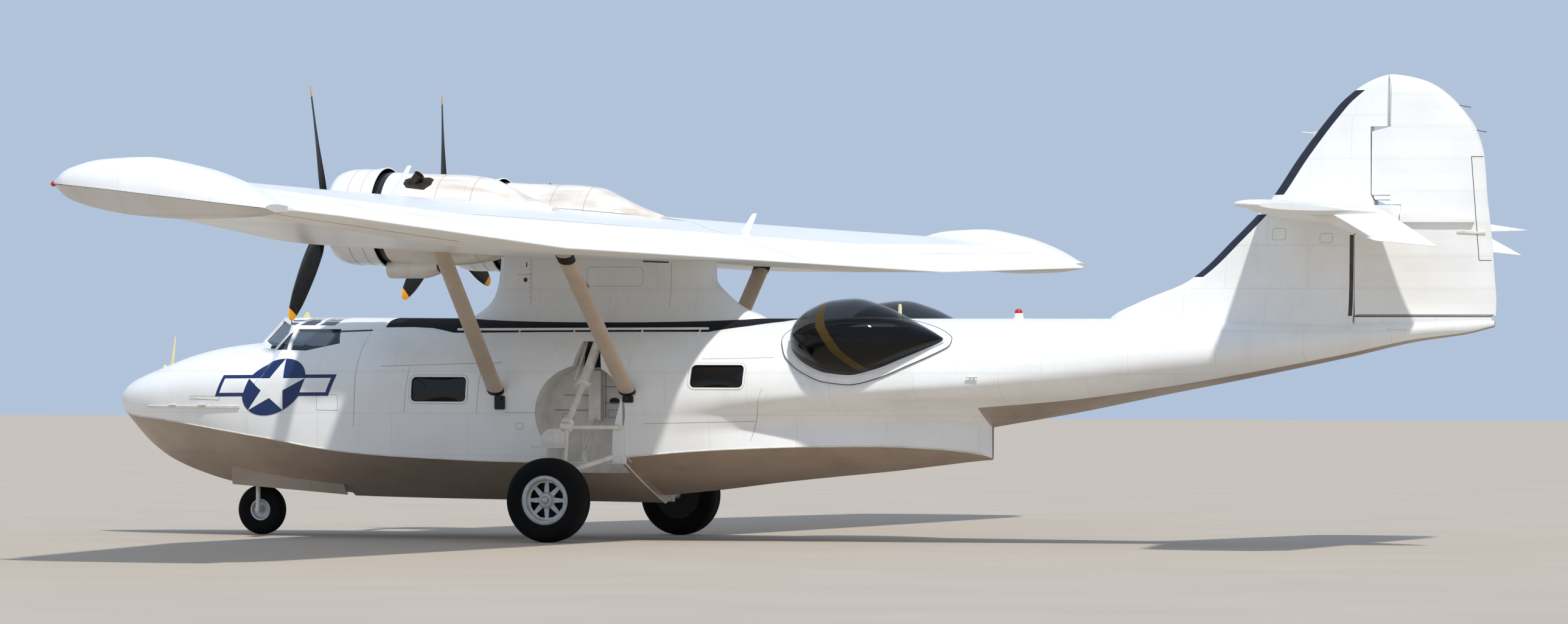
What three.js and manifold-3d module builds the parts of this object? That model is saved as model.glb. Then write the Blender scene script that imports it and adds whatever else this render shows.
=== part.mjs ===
// Flying boat with a parasol wing, two engines and a retractable three-wheel gear, parked on its wheels.
// Millimetres, +X aft, +Y starboard, +Z up. The shapes are written in stations from the nose tip and
// heights from the ground, and the whole group is then moved so that the origin is under mid-length.
import * as THREE from 'three';
import Module from 'manifold-3d';
import { mergeVertices } from 'three/addons/utils/BufferGeometryUtils.js';

const wasm = await Module();
wasm.setup();

// Driving dimensions
const LENGTH = 19460;
const SEAT_GAP = 0.3;
const SIDES = { port: -1, starboard: 1 };

const WING_SPLIT_Y = 7500;
const WING_END_Y = 15150;
const REAR_SPAR_X = 8200;
const CONTROL_GAP = 14;
const COVE_GAP = 10;
const SKIN_SETBACK = 30;
const HINGE_PIN = { radius: 20, reach: 45, root: 30, clearance: 0.9 };
const AILERON = { inboard: [8760, 8900, 3911], outboard: [8760, 14500, 4072], radii: [124, 102] };

const HUB_AFT = 110;
const ENGINE = { x: 4170, y: 2050, z: 4300, cowlRadius: 640, propX: 3974 };
const MAIN_WHEEL = { x: 7350, y: 2490, radius: 555, halfWidth: 195, rimRadius: 325 };
const NOSE_WHEEL = { x: 2120, radius: 340, halfWidth: 100, rimRadius: 150 };
const NOSE_BAY = { fore: 1800, aft: 3520, halfWidth: 340, roofZ: 1500 };
const WELL_TRUNK = { low: [7380, 1600], high: [7550, 2260], depth: 130 };
const WELL = { x: 7410, z: 1700, radius: 640, innerY: 1000, footAft: 8000 };
const CABIN = { floorZ: 1620, wall: 60, tailWall: 38, wellPassageHalfWidth: 880, passageTop: 2700 };
const ELEVATOR = {
  inboard: [18000, 260, 4278],
  outboard: [18000, 3840, 4278],
  radii: [87, 73],
  inboardTrail: 640,
  outboardTrail: 4060,
};
const ELEVATOR_DROOP = THREE.MathUtils.degToRad(21);

const PAINT = {
  white: { color: 0xf2f1ec, roughness: 0.35, metalness: 0.1 },
  fabricWhite: { color: 0xefeee8, roughness: 0.55, metalness: 0 },
  strut: { color: 0xd8cdb8, roughness: 0.45, metalness: 0.1 },
  glass: { color: 0x1c1e22, roughness: 0.08, metalness: 0 },
  black: { color: 0x1b1b1d, roughness: 0.5, metalness: 0.1 },
  steel: { color: 0x6d6a66, roughness: 0.5, metalness: 0.8 },
  wheel: { color: 0xc9cbca, roughness: 0.4, metalness: 0.5 },
  tyre: { color: 0x161616, roughness: 0.9, metalness: 0 },
};

const aircraft = new THREE.Group();
aircraft.position.x = -LENGTH / 2;

// Solids and meshes

function solidOf(geometry) {
  const bare = geometry.clone();
  bare.deleteAttribute('normal');
  bare.deleteAttribute('uv');
  const merged = mergeVertices(bare, 1e-3);
  const mesh = new wasm.Mesh({
    numProp: 3,
    vertProperties: new Float32Array(merged.attributes.position.array),
    triVerts: new Uint32Array(merged.index.array),
  });
  return new wasm.Manifold(mesh);
}

function geometryOf(solid) {
  const { vertProperties, triVerts } = solid.getMesh();
  const geometry = new THREE.BufferGeometry();
  geometry.setAttribute('position', new THREE.BufferAttribute(new Float32Array(vertProperties), 3));
  geometry.setIndex(new THREE.BufferAttribute(new Uint32Array(triVerts), 1));
  geometry.computeVertexNormals();
  return geometry;
}

function flipped(geometry) {
  const index = geometry.index.array;
  for (let i = 0; i < index.length; i += 3) {
    [index[i + 1], index[i + 2]] = [index[i + 2], index[i + 1]];
  }
  return geometry;
}

function signedVolume(geometry) {
  const position = geometry.attributes.position;
  const corner = [new THREE.Vector3(), new THREE.Vector3(), new THREE.Vector3()];
  let volume = 0;
  for (let i = 0; i < geometry.index.count; i += 3) {
    corner.forEach((point, k) => point.fromBufferAttribute(position, geometry.index.getX(i + k)));
    volume += corner[0].dot(corner[1].clone().cross(corner[2])) / 6;
  }
  return volume;
}

// Closed body through rings of points that all lie in planes across one axis (0, 1 or 2)
function loft(rings, across) {
  const count = rings[0].length;
  const points = rings.flat();
  const index = [];
  for (let r = 0; r + 1 < rings.length; r += 1) {
    for (let i = 0; i < count; i += 1) {
      const a = r * count + i;
      const b = r * count + ((i + 1) % count);
      index.push(a, b, b + count, a, b + count, a + count);
    }
  }
  const flat = ([x, y, z]) => [new THREE.Vector2(y, z), new THREE.Vector2(x, z), new THREE.Vector2(x, y)][across];
  const last = (rings.length - 1) * count;
  const capOf = (ring) => THREE.ShapeUtils.triangulateShape(ring.map(flat), []);
  const orientation = THREE.ShapeUtils.isClockWise(rings[0].map(flat)) ? -1 : 1;
  for (const [a, b, c] of capOf(rings[0])) {
    index.push(...(orientation > 0 ? [a, c, b] : [a, b, c]));
  }
  for (const [a, b, c] of capOf(rings[rings.length - 1])) {
    index.push(...(orientation > 0 ? [last + a, last + b, last + c] : [last + a, last + c, last + b]));
  }
  const geometry = new THREE.BufferGeometry();
  geometry.setAttribute('position', new THREE.Float32BufferAttribute(points.flat(), 3));
  geometry.setIndex(index);
  matchCaps(geometry, rings.length, count);
  return signedVolume(geometry) < 0 ? flipped(geometry) : geometry;
}

// Turns the end caps round where their winding disagrees with the wall's
function matchCaps(geometry, ringCount, count) {
  const index = geometry.index.array;
  const wall = (ringCount - 1) * count * 6;
  const walls = new Set();
  for (let i = 0; i < wall; i += 3) {
    for (let k = 0; k < 3; k += 1) {
      walls.add(`${index[i + k]}-${index[i + ((k + 1) % 3)]}`);
    }
  }
  for (const isCap of [(v) => v < count, (v) => v >= (ringCount - 1) * count]) {
    const starts = [];
    for (let i = wall; i < index.length; i += 3) {
      if (isCap(index[i])) starts.push(i);
    }
    const wrong = starts.some((i) => [0, 1, 2].some((k) => walls.has(`${index[i + k]}-${index[i + ((k + 1) % 3)]}`)));
    if (wrong) {
      for (const i of starts) [index[i + 1], index[i + 2]] = [index[i + 2], index[i + 1]];
    }
  }
}

function box(low, high) {
  const size = high.map((value, i) => value - low[i]);
  const middle = high.map((value, i) => (value + low[i]) / 2);
  return solidOf(new THREE.BoxGeometry(...size).translate(...middle));
}

// Side outline of [x, z] corners, made solid from y0 to y1
function sidePrism(corners, y0, y1) {
  return solidOf(loft([y0, y1].map((y) => corners.map(([x, z]) => [x, y, z])), 1));
}

// Plan outline of [x, y] corners, made solid from z0 to z1
function planPrism(corners, z0, z1) {
  return solidOf(loft([z0, z1].map((z) => corners.map(([x, y]) => [x, y, z])), 2));
}

function moved(solid, offset) {
  return solidOf(geometryOf(solid).translate(...offset));
}

function mirrored(solid, side) {
  return side > 0 ? solid : solidOf(flipped(geometryOf(solid).scale(1, -1, 1)));
}

// The solid together with its copies pushed by the seat gap, for cutting what rests on it
function seatOf(solid, ...directions) {
  let seat = solid;
  for (const direction of directions) {
    seat = seat.add(moved(solid, direction.map((value) => value * SEAT_GAP)));
  }
  return seat;
}

function tube(from, to, radius, sides = 12, endRadius = radius) {
  const start = new THREE.Vector3(...from);
  const along = new THREE.Vector3(...to).sub(start);
  const geometry = new THREE.CylinderGeometry(endRadius, radius, along.length(), sides);
  geometry.translate(0, along.length() / 2, 0);
  const turn = new THREE.Quaternion().setFromUnitVectors(new THREE.Vector3(0, 1, 0), along.normalize());
  geometry.applyQuaternion(turn).translate(...from);
  return solidOf(geometry);
}

// Round nose of a hinged surface, or with a bigger grow the cove that it turns in
function hingeNose({ inboard, outboard, radii }, endGap, grow = 0) {
  const along = new THREE.Vector3(...outboard).sub(new THREE.Vector3(...inboard)).normalize();
  const from = new THREE.Vector3(...inboard).addScaledVector(along, endGap).toArray();
  const to = new THREE.Vector3(...outboard).addScaledVector(along, -endGap).toArray();
  return tube(from, to, radii[0] + grow, 14, radii[1] + grow);
}

// Pins on the hinge line at the ends of a hinged surface, or their bores with a bigger grow
function hingePins({ inboard, outboard }, gap, bothEnds, grow = 0) {
  const start = new THREE.Vector3(...inboard);
  const end = new THREE.Vector3(...outboard);
  const along = end.clone().sub(start).normalize();
  const pin = (point, way) => {
    const from = point.clone().addScaledVector(along, -way * (gap + HINGE_PIN.root)).toArray();
    const to = point.clone().addScaledVector(along, way * (HINGE_PIN.reach + grow)).toArray();
    return tube(from, to, HINGE_PIN.radius + grow, 16);
  };
  return bothEnds ? pin(end, 1).add(pin(start, -1)) : pin(end, 1);
}

// Ring turned about the X or Y axis from a closed [radius, along] outline
function turned(outline, axis, sides, start = 0) {
  const profile = outline.map(([radius, along]) => new THREE.Vector2(radius, along));
  const geometry = new THREE.LatheGeometry(profile, sides, start);
  if (axis === 'x') geometry.rotateZ(-Math.PI / 2);
  return geometry;
}

function addMesh(name, shape, paint, parent = aircraft) {
  const geometry = shape.isBufferGeometry ? shape : geometryOf(shape);
  const mesh = new THREE.Mesh(geometry, new THREE.MeshStandardMaterial(PAINT[paint]));
  mesh.name = name;
  parent.add(mesh);
  return mesh;
}

// Hull sections. Columns: station, keel height, chine half breadth, chine height, beam half breadth,
// beam height, deck height, then in the waist the folds of the side between chine and beam as [y, z]
const HULL = {
  bow: [
    [0, 1790, 40, 1810, 60, 1850, 1900],
    [60, 1680, 130, 1740, 170, 1860, 1990],
    [200, 1500, 260, 1660, 340, 1870, 2100],
    [450, 1250, 430, 1620, 540, 1890, 2210],
    [780, 1030, 620, 1595, 740, 1900, 2330],
    [1200, 860, 830, 1550, 920, 1920, 2475],
    [1640, 735, 1000, 1490, 1080, 1930, 2575],
    [2080, 660, 1140, 1430, 1210, 1940, 2630],
    [2430, 620, 1225, 1380, 1290, 1945, 2655],
    [2840, 580, 1310, 1325, 1360, 1950, 2675],
    [3520, 545, 1410, 1215, 1440, 1950, 2985],
    [4200, 530, 1460, 1140, 1490, 1930, 2980],
    [4850, 520, 1485, 1100, 1515, 1920, 2975],
  ],
  centre: [
    [4850, 520, 1485, 1100, 1515, 1920, 2975],
    [6400, 505, 1500, 1045, 1535, 1900, 2970],
    [8060, 490, 1490, 1030, 1525, 1900, 2970],
  ],
  waist: [
    [8060, 590, 1470, 1120, 1525, 1900, 2970, [[1500, 1400], [1520, 1650]]],
    [8900, 675, 1370, 1195, 1495, 1920, 2970, [[1395, 1440], [1450, 1690]]],
    [9700, 775, 1210, 1240, 1450, 1950, 2970, [[1190, 1500], [1290, 1700]]],
    [10500, 860, 990, 1268, 1385, 1990, 2970, [[955, 1500], [1065, 1720]]],
    [11300, 940, 710, 1275, 1310, 2040, 2970, [[665, 1560], [810, 1735]]],
    [12000, 1025, 410, 1245, 1235, 2090, 2970, [[370, 1600], [695, 1765]]],
    [12500, 1085, 150, 1185, 1180, 2130, 2970, [[130, 1560], [650, 1785]]],
    [12680, 1100, 40, 1125, 1160, 2145, 2970, [[46, 1550], [640, 1790]]],
  ],
  tail: [
    [12680, 1530, 640, 1790, 1160, 2145, 2970],
    [13850, 1730, 560, 1890, 990, 2290, 2970],
    [15070, 1975, 450, 2055, 790, 2430, 2965],
    [16180, 2190, 340, 2245, 590, 2560, 2960],
    [17490, 2460, 215, 2500, 370, 2700, 2960],
    [18420, 2670, 130, 2700, 210, 2820, 2960],
    [19090, 2770, 80, 2790, 110, 2870, 2960],
    [19440, 2860, 20, 2875, 30, 2905, 2940],
  ],
};
const BOTTOM_STEPS = 2;
const SIDE_STEPS = 3;
const ARCH_STEPS = 8;

function hullRing([x, keelZ, chineY, chineZ, beamY, beamZ, deckZ, folds = []], grow = 0) {
  const half = [];
  for (let i = 0; i <= BOTTOM_STEPS; i += 1) {
    const t = i / BOTTOM_STEPS;
    half.push([x, chineY * t, keelZ + (chineZ - keelZ) * (t * 0.85 + t * t * 0.15)]);
  }
  half.push(...folds.map(([y, z]) => [x, y, z]));
  const [, startY, startZ] = half.at(-1);
  const bendZ = startZ + 0.45 * (beamZ - startZ);
  for (let i = 1; i <= SIDE_STEPS; i += 1) {
    const t = i / SIDE_STEPS;
    const [a, b, c] = [(1 - t) ** 2, 2 * t * (1 - t), t * t];
    half.push([x, a * startY + b * beamY + c * (beamY + grow), a * startZ + b * bendZ + c * beamZ]);
  }
  for (let i = 1; i <= ARCH_STEPS; i += 1) {
    const angle = (i / ARCH_STEPS) * (Math.PI / 2);
    const across = Math.abs(Math.cos(angle)) ** 0.92;
    half.push([x, (beamY + grow) * across, beamZ + (deckZ + grow - beamZ) * Math.sin(angle)]);
  }
  half[half.length - 1][1] = 0;
  const portHalf = half.slice(1, -1).reverse().map(([px, py, pz]) => [px, -py, pz]);
  return [...half, ...portHalf];
}

function hullSolid(rows, grow = 0) {
  return solidOf(loft(rows.map((row) => hullRing(row, grow)), 0));
}

// Cabin space under the deck, from its floor up. Columns as the hull's, wall is taken off all round
function cabinSpace(rows, wall, floorZ) {
  const rings = rows.map(([x, , , , beamY, beamZ, deckZ]) => {
    const ring = [[x, 0, floorZ], [x, beamY - wall * 1.6, floorZ]];
    for (let i = 0; i <= ARCH_STEPS; i += 1) {
      const angle = (i / ARCH_STEPS) * (Math.PI / 2);
      const across = Math.abs(Math.cos(angle)) ** 0.92;
      ring.push([x, (beamY - wall) * across, beamZ + (deckZ - wall - beamZ) * Math.sin(angle)]);
    }
    ring[ring.length - 1][1] = 0;
    const portHalf = ring.slice(1, -1).reverse().map(([px, py, pz]) => [px, -py, pz]);
    return [...ring, ...portHalf];
  });
  return solidOf(loft(rings, 0));
}

// Rows drawn in all round by a wall, bottom included
function hollowRows(rows, wall) {
  return rows.map(([x, keelZ, chineY, chineZ, beamY, beamZ, deckZ, folds = []]) => [
    x,
    keelZ + 1.6 * wall,
    Math.max(chineY - 1.6 * wall, 5),
    chineZ + 1.2 * wall,
    beamY - wall,
    beamZ + 0.6 * wall,
    deckZ - wall,
    folds.map(([y, z]) => [Math.max(y - wall, 6), z + wall]),
  ]);
}

// Rows with a copy of the first or last pushed well past the end, so that a cut runs right through
const THROUGH = 50;
const openFore = (rows) => [[rows[0][0] - THROUGH, ...rows[0].slice(1)], ...rows];
const openAft = (rows) => [...rows, [rows.at(-1)[0] + THROUGH, ...rows.at(-1).slice(1)]];

const WINDOWS = {
  forward: { low: [4970, 1840], high: [5770, 2170] },
  aft: { low: [8940, 2040], high: [9730, 2350] },
};

function windowCut({ low, high }, side, inset = 0) {
  const ys = [1150 * side, 1700 * side].sort((a, b) => a - b);
  return box([low[0] + inset, ys[0], low[1] + inset], [high[0] - inset, ys[1], high[1] - inset]);
}

// Cockpit canopy: the part of the bow above the sill line, from the windscreen's foot to the roof's end
const CANOPY = { fore: 2060, aft: 3640, sillZ: 2490, wall: 28, glassWall: 10 };
const CANOPY_PANES = [
  { name: 'quarterlight', corners: [[2700, 2540], [2925, 2540], [2925, 2800]] },
  { name: 'side', corners: [[2985, 2540], [3560, 2600], [3560, 2800], [2985, 2800]] },
];
const CANOPY_BLOCK = [[CANOPY.fore, CANOPY.sillZ], [CANOPY.aft, CANOPY.sillZ], [CANOPY.aft, 3200], [CANOPY.fore, 3200]];

// Blade posts that stand on the skin. Columns: foot x, y, z, tip x, y, z, chord at the foot, chord at the tip
const NOSE_POSTS = [
  [790, 0, 2260, 740, 0, 2730, 60, 22],
  [610, 0, 2200, 610, 0, 2350, 70, 60],
];
const WING_POSTS = [
  [5330, -3200, 4380, 5650, -3200, 4940, 130, 70],
  [7830, 3700, 4200, 7990, 3700, 4495, 150, 70],
];

function postSolid([footX, footY, footZ, tipX, tipY, tipZ, footChord, tipChord]) {
  const ends = [[footX, footY, footZ, footChord], [tipX, tipY, tipZ, tipChord]];
  const rings = ends.map(([x, y, z, chord]) => Array.from({ length: 8 }, (unused, i) => {
    const angle = (i / 8) * 2 * Math.PI;
    return [x + (chord / 2) * Math.cos(angle), y + chord * 0.16 * Math.sin(angle), z];
  }));
  return solidOf(loft(rings, 2));
}

// The windscreen is two flat halves that meet on the middle line and sweep back. The cockpit's roof
// is the hull's own section raised to the roof line, and begins behind them
const SCREEN = { footX: 2105, footZ: 2636, slope: 0.981, sweep: 0.796, normalToX: 1.61 };
const HOUSE = { fore: 1700, roofZ: 2985, fullFrom: 3520 };
const screenX = (y, z) => SCREEN.footX + SCREEN.sweep * Math.abs(y) + SCREEN.slope * (z - SCREEN.footZ);

const houseRows = HULL.bow
  .filter(([x]) => x >= HOUSE.fore)
  .map((row) => (row[0] < HOUSE.fullFrom ? [...row.slice(0, 6), HOUSE.roofZ] : row));

function behindScreen(setBack) {
  const halves = [-1700, 1700].map((far) => loft([0, far].map((y) => [
    [screenX(y, 1500) + setBack, y, 1500],
    [screenX(y, 3400) + setBack, y, 3400],
    [6000, y, 3400],
    [6000, y, 1500],
  ]), 1));
  return solidOf(halves[0]).add(solidOf(halves[1]));
}

// The bow with its cockpit roof, drawn in by a wall
function bowSolid(wall) {
  const drawnIn = ([x, keelZ, chineY, chineZ, beamY, beamZ, deckZ]) => [
    x, keelZ, chineY, chineZ, Math.max(beamY - wall, 20), beamZ, deckZ - wall,
  ];
  const house = hullSolid(houseRows.map(drawnIn)).intersect(behindScreen(wall * SCREEN.normalToX));
  return hullSolid(HULL.bow.map(drawnIn)).add(house);
}

function buildBow() {
  const outer = bowSolid(0);
  const canopyBlock = sidePrism(CANOPY_BLOCK, -1600, 1600);
  const foreCabin = cabinSpace(openAft(HULL.bow.filter(([x]) => x >= 780)), CABIN.wall, CABIN.floorZ);
  const house = cabinSpace(openAft(houseRows), CABIN.wall, CABIN.floorZ);
  const cabin = foreCabin.add(house.intersect(behindScreen(CABIN.wall * SCREEN.normalToX)));
  const bay = box(
    [NOSE_BAY.fore, -NOSE_BAY.halfWidth, 300],
    [NOSE_BAY.aft, NOSE_BAY.halfWidth, NOSE_BAY.roofZ],
  );
  const posts = NOSE_POSTS.map(postSolid);
  const hull = posts.reduce((body, post) => body.add(post), outer.subtract(bay).subtract(canopyBlock));
  addMesh('hull_bow', hull.subtract(cabin), 'white');
  return outer;
}

function buildCanopy(bow) {
  const gap = SEAT_GAP;
  const zone = box(
    [CANOPY.fore + gap, -1600, CANOPY.sillZ + gap],
    [CANOPY.aft - gap, 1600, 3200],
  );
  const inside = bowSolid(CANOPY.wall);
  const insideGlass = bowSolid(CANOPY.wall + gap);
  const glassCore = bowSolid(CANOPY.wall + gap + CANOPY.glassWall);
  let frame = bow.subtract(inside).intersect(zone);
  for (const { corners } of CANOPY_PANES) {
    frame = frame.subtract(sidePrism(corners, -1600, 1600));
  }
  for (const side of [-1, 1]) {
    frame = frame.subtract(screenPane(side));
    for (const [x0, x1] of [[2960, 3200], [3260, 3500]]) {
      const [y0, y1] = [110 * side, 520 * side].sort((a, b) => a - b);
      frame = frame.subtract(box([x0, y0, 2800], [x1, y1, 3200]));
    }
  }
  addMesh('canopy_frame', frame, 'white');
  addMesh('canopy_glass', insideGlass.subtract(glassCore).intersect(zone), 'glass');
}

// Room of one windscreen half. Columns: place across, lower edge, upper edge of the pane
const SCREEN_PANE = [
  [48, 2672, 2920],
  [610, 2592, 2800],
  [790, 2545, 2690],
];

function screenPane(side) {
  const rings = SCREEN_PANE.map(([y, low, high]) => [
    [screenX(y, low) - 260, y * side, low],
    [screenX(y, high) - 260, y * side, high],
    [screenX(y, high) + 120, y * side, high],
    [screenX(y, low) + 120, y * side, low],
  ]);
  return solidOf(loft(rings, 1));
}

function wellSpace(side) {
  const [y0, y1] = [WELL.innerY * side, 1900 * side].sort((a, b) => a - b);
  const round = new THREE.CylinderGeometry(WELL.radius, WELL.radius, y1 - y0, 32);
  round.translate(WELL.x, (y0 + y1) / 2, WELL.z);
  const foot = box([WELL.x - 470, y0, 900], [WELL.footAft, y1, WELL.z]);
  const slot = sidePrism([[7250, 2200], [7430, 2655], [7680, 2655], [7740, 2480], [7740, 2200]], y0, y1);
  return solidOf(round).add(foot).add(slot);
}

function buildCentre() {
  const outer = hullSolid(HULL.centre);
  const halfWidth = CABIN.wellPassageHalfWidth;
  const wide = cabinSpace(openFore(HULL.centre.slice(0, 2)), CABIN.wall, CABIN.floorZ);
  const passage = box([6000, -halfWidth, CABIN.floorZ], [8060 + THROUGH, halfWidth, CABIN.passageTop]);
  let hull = outer.subtract(wide).subtract(passage);
  for (const side of [-1, 1]) {
    const ys = [(WELL.innerY - 40) * side, (WELL.innerY + WELL_TRUNK.depth) * side].sort((a, b) => a - b);
    const trunk = box([WELL_TRUNK.low[0], ys[0], WELL_TRUNK.low[1]], [WELL_TRUNK.high[0], ys[1], WELL_TRUNK.high[1]]);
    hull = hull.subtract(windowCut(WINDOWS.forward, side)).subtract(wellSpace(side)).add(trunk);
  }
  addMesh('hull_centre', hull, 'white');
  return { outer, hull };
}

// Blister: a bubble drawn out to a point aft. Columns: station, half height, half breadth outboard
const BLISTER = { y: 1020, z: 2690, wall: 14, rim: 120, rimRise: 26 };
const BLISTER_ROWS = [
  [10210, 40, 60],
  [10310, 240, 340],
  [10510, 400, 570],
  [10800, 510, 720],
  [11100, 535, 745],
  [11450, 450, 650],
  [11840, 270, 430],
  [12140, 115, 210],
  [12300, 20, 40],
];
const BLISTER_SIDES = 14;

function blisterSolid(side, grow = 0) {
  const rings = BLISTER_ROWS.map(([x, halfHeight, reach], row) => {
    const stretch = row === 0 ? -grow : row === BLISTER_ROWS.length - 1 ? grow : 0;
    return Array.from({ length: BLISTER_SIDES }, (unused, i) => {
      const angle = (i / BLISTER_SIDES) * 2 * Math.PI;
      const y = BLISTER.y + Math.cos(angle) * Math.max(reach + grow, 6);
      return [x + stretch, y * side, BLISTER.z + Math.sin(angle) * Math.max(halfHeight + grow, 4)];
    });
  });
  return solidOf(loft(rings, 0));
}

function buildWaist() {
  const outer = hullSolid(HULL.waist);
  const proud = hullSolid(HULL.waist, BLISTER.rimRise);
  const cabin = hullSolid(openFore(openAft(hollowRows(HULL.waist, CABIN.tailWall))));
  let hull = outer.subtract(cabin);
  for (const side of Object.values(SIDES)) {
    const rim = blisterSolid(side, BLISTER.rim).intersect(proud).intersect(box([10000, -3000, 1000], [12660, 3000, 4000]));
    hull = hull.add(rim.subtract(cabin));
  }
  for (const [name, side] of Object.entries(SIDES)) {
    const bubble = blisterSolid(side);
    hull = hull.subtract(blisterSolid(side, SEAT_GAP)).subtract(windowCut(WINDOWS.aft, side));
    const outboard = box([10000, Math.min(0, side * 4000), 1000], [13000, Math.max(0, side * 4000), 4000]);
    const shell = bubble.subtract(blisterSolid(side, -BLISTER.wall)).intersect(outboard);
    const clearOfCabin = moved(outer, [0, -side * BLISTER.wall * 3, -BLISTER.wall]);
    addMesh(`blister_${name}`, shell.subtract(clearOfCabin), 'glass');
  }
  addMesh('hull_waist', hull, 'white');
  return outer;
}

function buildTail() {
  const [first, ...rest] = HULL.tail;
  const outer = hullSolid([[first[0] + SEAT_GAP, ...first.slice(1)], ...rest]);
  const wall = CABIN.tailWall;
  const frontWall = [first[0] + wall, ...first.slice(1)];
  const inner = hollowRows([frontWall, ...rest.filter(([x]) => x < 17000)], wall);
  const doorway = box([first[0] - THROUGH, -420, 2230], [first[0] + 2 * wall, 420, 2800]);
  addMesh('hull_tail', outer.subtract(hullSolid(inner)).subtract(doorway), 'white');
  return outer;
}

// Window panes sit in their cut with a small surround gap
function buildSidePanes() {
  const thin = 14;
  for (const [name, side] of Object.entries(SIDES)) {
    for (const [place, window] of Object.entries(WINDOWS)) {
      const rows = place === 'forward' ? HULL.centre : HULL.waist;
      const outer = hullSolid(rows, -20);
      const inner = hullSolid(rows, -20 - thin);
      const pane = outer.subtract(inner).intersect(windowCut(window, side, SEAT_GAP));
      addMesh(`window_${place}_${name}`, pane, 'glass');
    }
  }
}

// Wing panels. Columns: spanwise place, leading edge x and z, trailing edge x and z, thickness ratio
const WING = {
  centre: [WING_SPLIT_Y, 4980, 4190, 9550, 3740, 0.15],
  outer: [
    [WING_SPLIT_Y, 4980, 4190, 9550, 3740, 0.15],
    [14500, 6330, 4275, 9540, 3945, 0.125],
    [WING_END_Y, 6560, 4285, 9380, 3975, 0.12],
  ],
};
const WING_STEPS = 9;
const WING_CAMBER = 0.02;

// Section outline from the trailing edge over the top to the nose and back along the bottom
function wingRing(y, leadX, leadZ, trailX, trailZ, ratio, steps = WING_STEPS, camber = WING_CAMBER) {
  const chord = Math.hypot(trailX - leadX, trailZ - leadZ);
  const down = Math.atan2(leadZ - trailZ, trailX - leadX);
  const at = (t, sign) => {
    const half = 5 * ratio * (0.2969 * Math.sqrt(t) - 0.126 * t - 0.3516 * t ** 2 + 0.2843 * t ** 3 - 0.1036 * t ** 4);
    const rise = (camber * 4 * t * (1 - t) + sign * Math.max(half, t > 0.9 ? 0.0012 : 0)) * chord;
    const along = t * chord;
    return [
      leadX + along * Math.cos(down) + rise * Math.sin(down),
      y,
      leadZ - along * Math.sin(down) + rise * Math.cos(down),
    ];
  };
  const spread = (i) => (1 - Math.cos((i / steps) * Math.PI)) / 2;
  const top = Array.from({ length: steps + 1 }, (unused, i) => at(spread(steps - i), 1));
  const bottom = Array.from({ length: steps }, (unused, i) => at(spread(i + 1), -1));
  return [...top, ...bottom];
}

function wingLoft(rows) {
  return solidOf(loft(rows.map((row) => wingRing(...row)), 1));
}

function buildWing() {
  const far = 30000;
  const centre = wingLoft([[-WING.centre[0], ...WING.centre.slice(1)], WING.centre]);
  const foreZone = box([0, -far, 0], [REAR_SPAR_X, far, far]);
  const aftZone = box([REAR_SPAR_X + SEAT_GAP, -far, 0], [far, far, far]);
  const panel = WING_POSTS.map(postSolid).reduce((body, post) => body.add(post), centre.intersect(foreZone));
  addMesh('wing_centre', panel, 'white');
  addMesh('trailing_edge_centre', centre.intersect(aftZone), 'fabricWhite');

  const rows = WING.outer.map((row, i) => [row[0] + (i === 0 ? SEAT_GAP : 0), ...row.slice(1)]);
  const outer = wingLoft(rows);
  const [hingeX, inboardY] = AILERON.inboard;
  const outboardY = AILERON.outboard[1];
  const hole = box([hingeX - SKIN_SETBACK, inboardY, 0], [far, outboardY, far])
    .add(hingeNose(AILERON, 0, COVE_GAP))
    .add(hingePins(AILERON, CONTROL_GAP, true, HINGE_PIN.clearance));
  const zone = box([hingeX, inboardY + CONTROL_GAP, 0], [far, outboardY - CONTROL_GAP, far]);
  const aileron = outer.intersect(zone)
    .add(hingeNose(AILERON, CONTROL_GAP))
    .add(hingePins(AILERON, CONTROL_GAP, true));
  const panels = [
    ['wing_outer', outer.intersect(foreZone), 'white'],
    ['trailing_edge', outer.intersect(aftZone).subtract(hole), 'fabricWhite'],
    ['aileron', aileron, 'fabricWhite'],
  ];
  for (const [name, side] of Object.entries(SIDES)) {
    for (const [panel, solid, paint] of panels) {
      addMesh(`${panel}_${name}`, mirrored(solid, side), paint);
    }
  }
  return centre;
}

// Raised float, which forms the wing tip. Columns: station, keel place outboard, keel height, top
// height, place of the top, bottom height, place of the bottom
const FLOAT_ROWS = [
  [6480, 15400, 4290, 4315, 15330, 4265, 15330],
  [6700, 15620, 4272, 4460, 15400, 4130, 15480],
  [7150, 15780, 4230, 4560, 15420, 4000, 15600],
  [7650, 15850, 4175, 4580, 15420, 3920, 15640],
  [8250, 15850, 4105, 4480, 15420, 3880, 15640],
  [8800, 15820, 4040, 4290, 15420, 3895, 15600],
  [9250, 15760, 3990, 4040, 15400, 3950, 15500],
];

function buildFloats() {
  const inboard = WING_END_Y + SEAT_GAP;
  const rings = FLOAT_ROWS.map(([x, keelY, keelZ, topZ, topY, bottomZ, bottomY]) => [
    [x, inboard, bottomZ + 12],
    [x, bottomY, bottomZ],
    [x, keelY, keelZ],
    [x, THREE.MathUtils.lerp(topY, keelY, 0.82), THREE.MathUtils.lerp(topZ, keelZ, 0.4)],
    [x, THREE.MathUtils.lerp(topY, keelY, 0.45), THREE.MathUtils.lerp(topZ, keelZ, 0.12)],
    [x, topY, topZ],
    [x, inboard, topZ - 12],
  ]);
  const float = solidOf(loft(rings, 0));
  for (const [name, side] of Object.entries(SIDES)) {
    addMesh(`float_${name}`, mirrored(float, side), 'white');
  }
}

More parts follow.
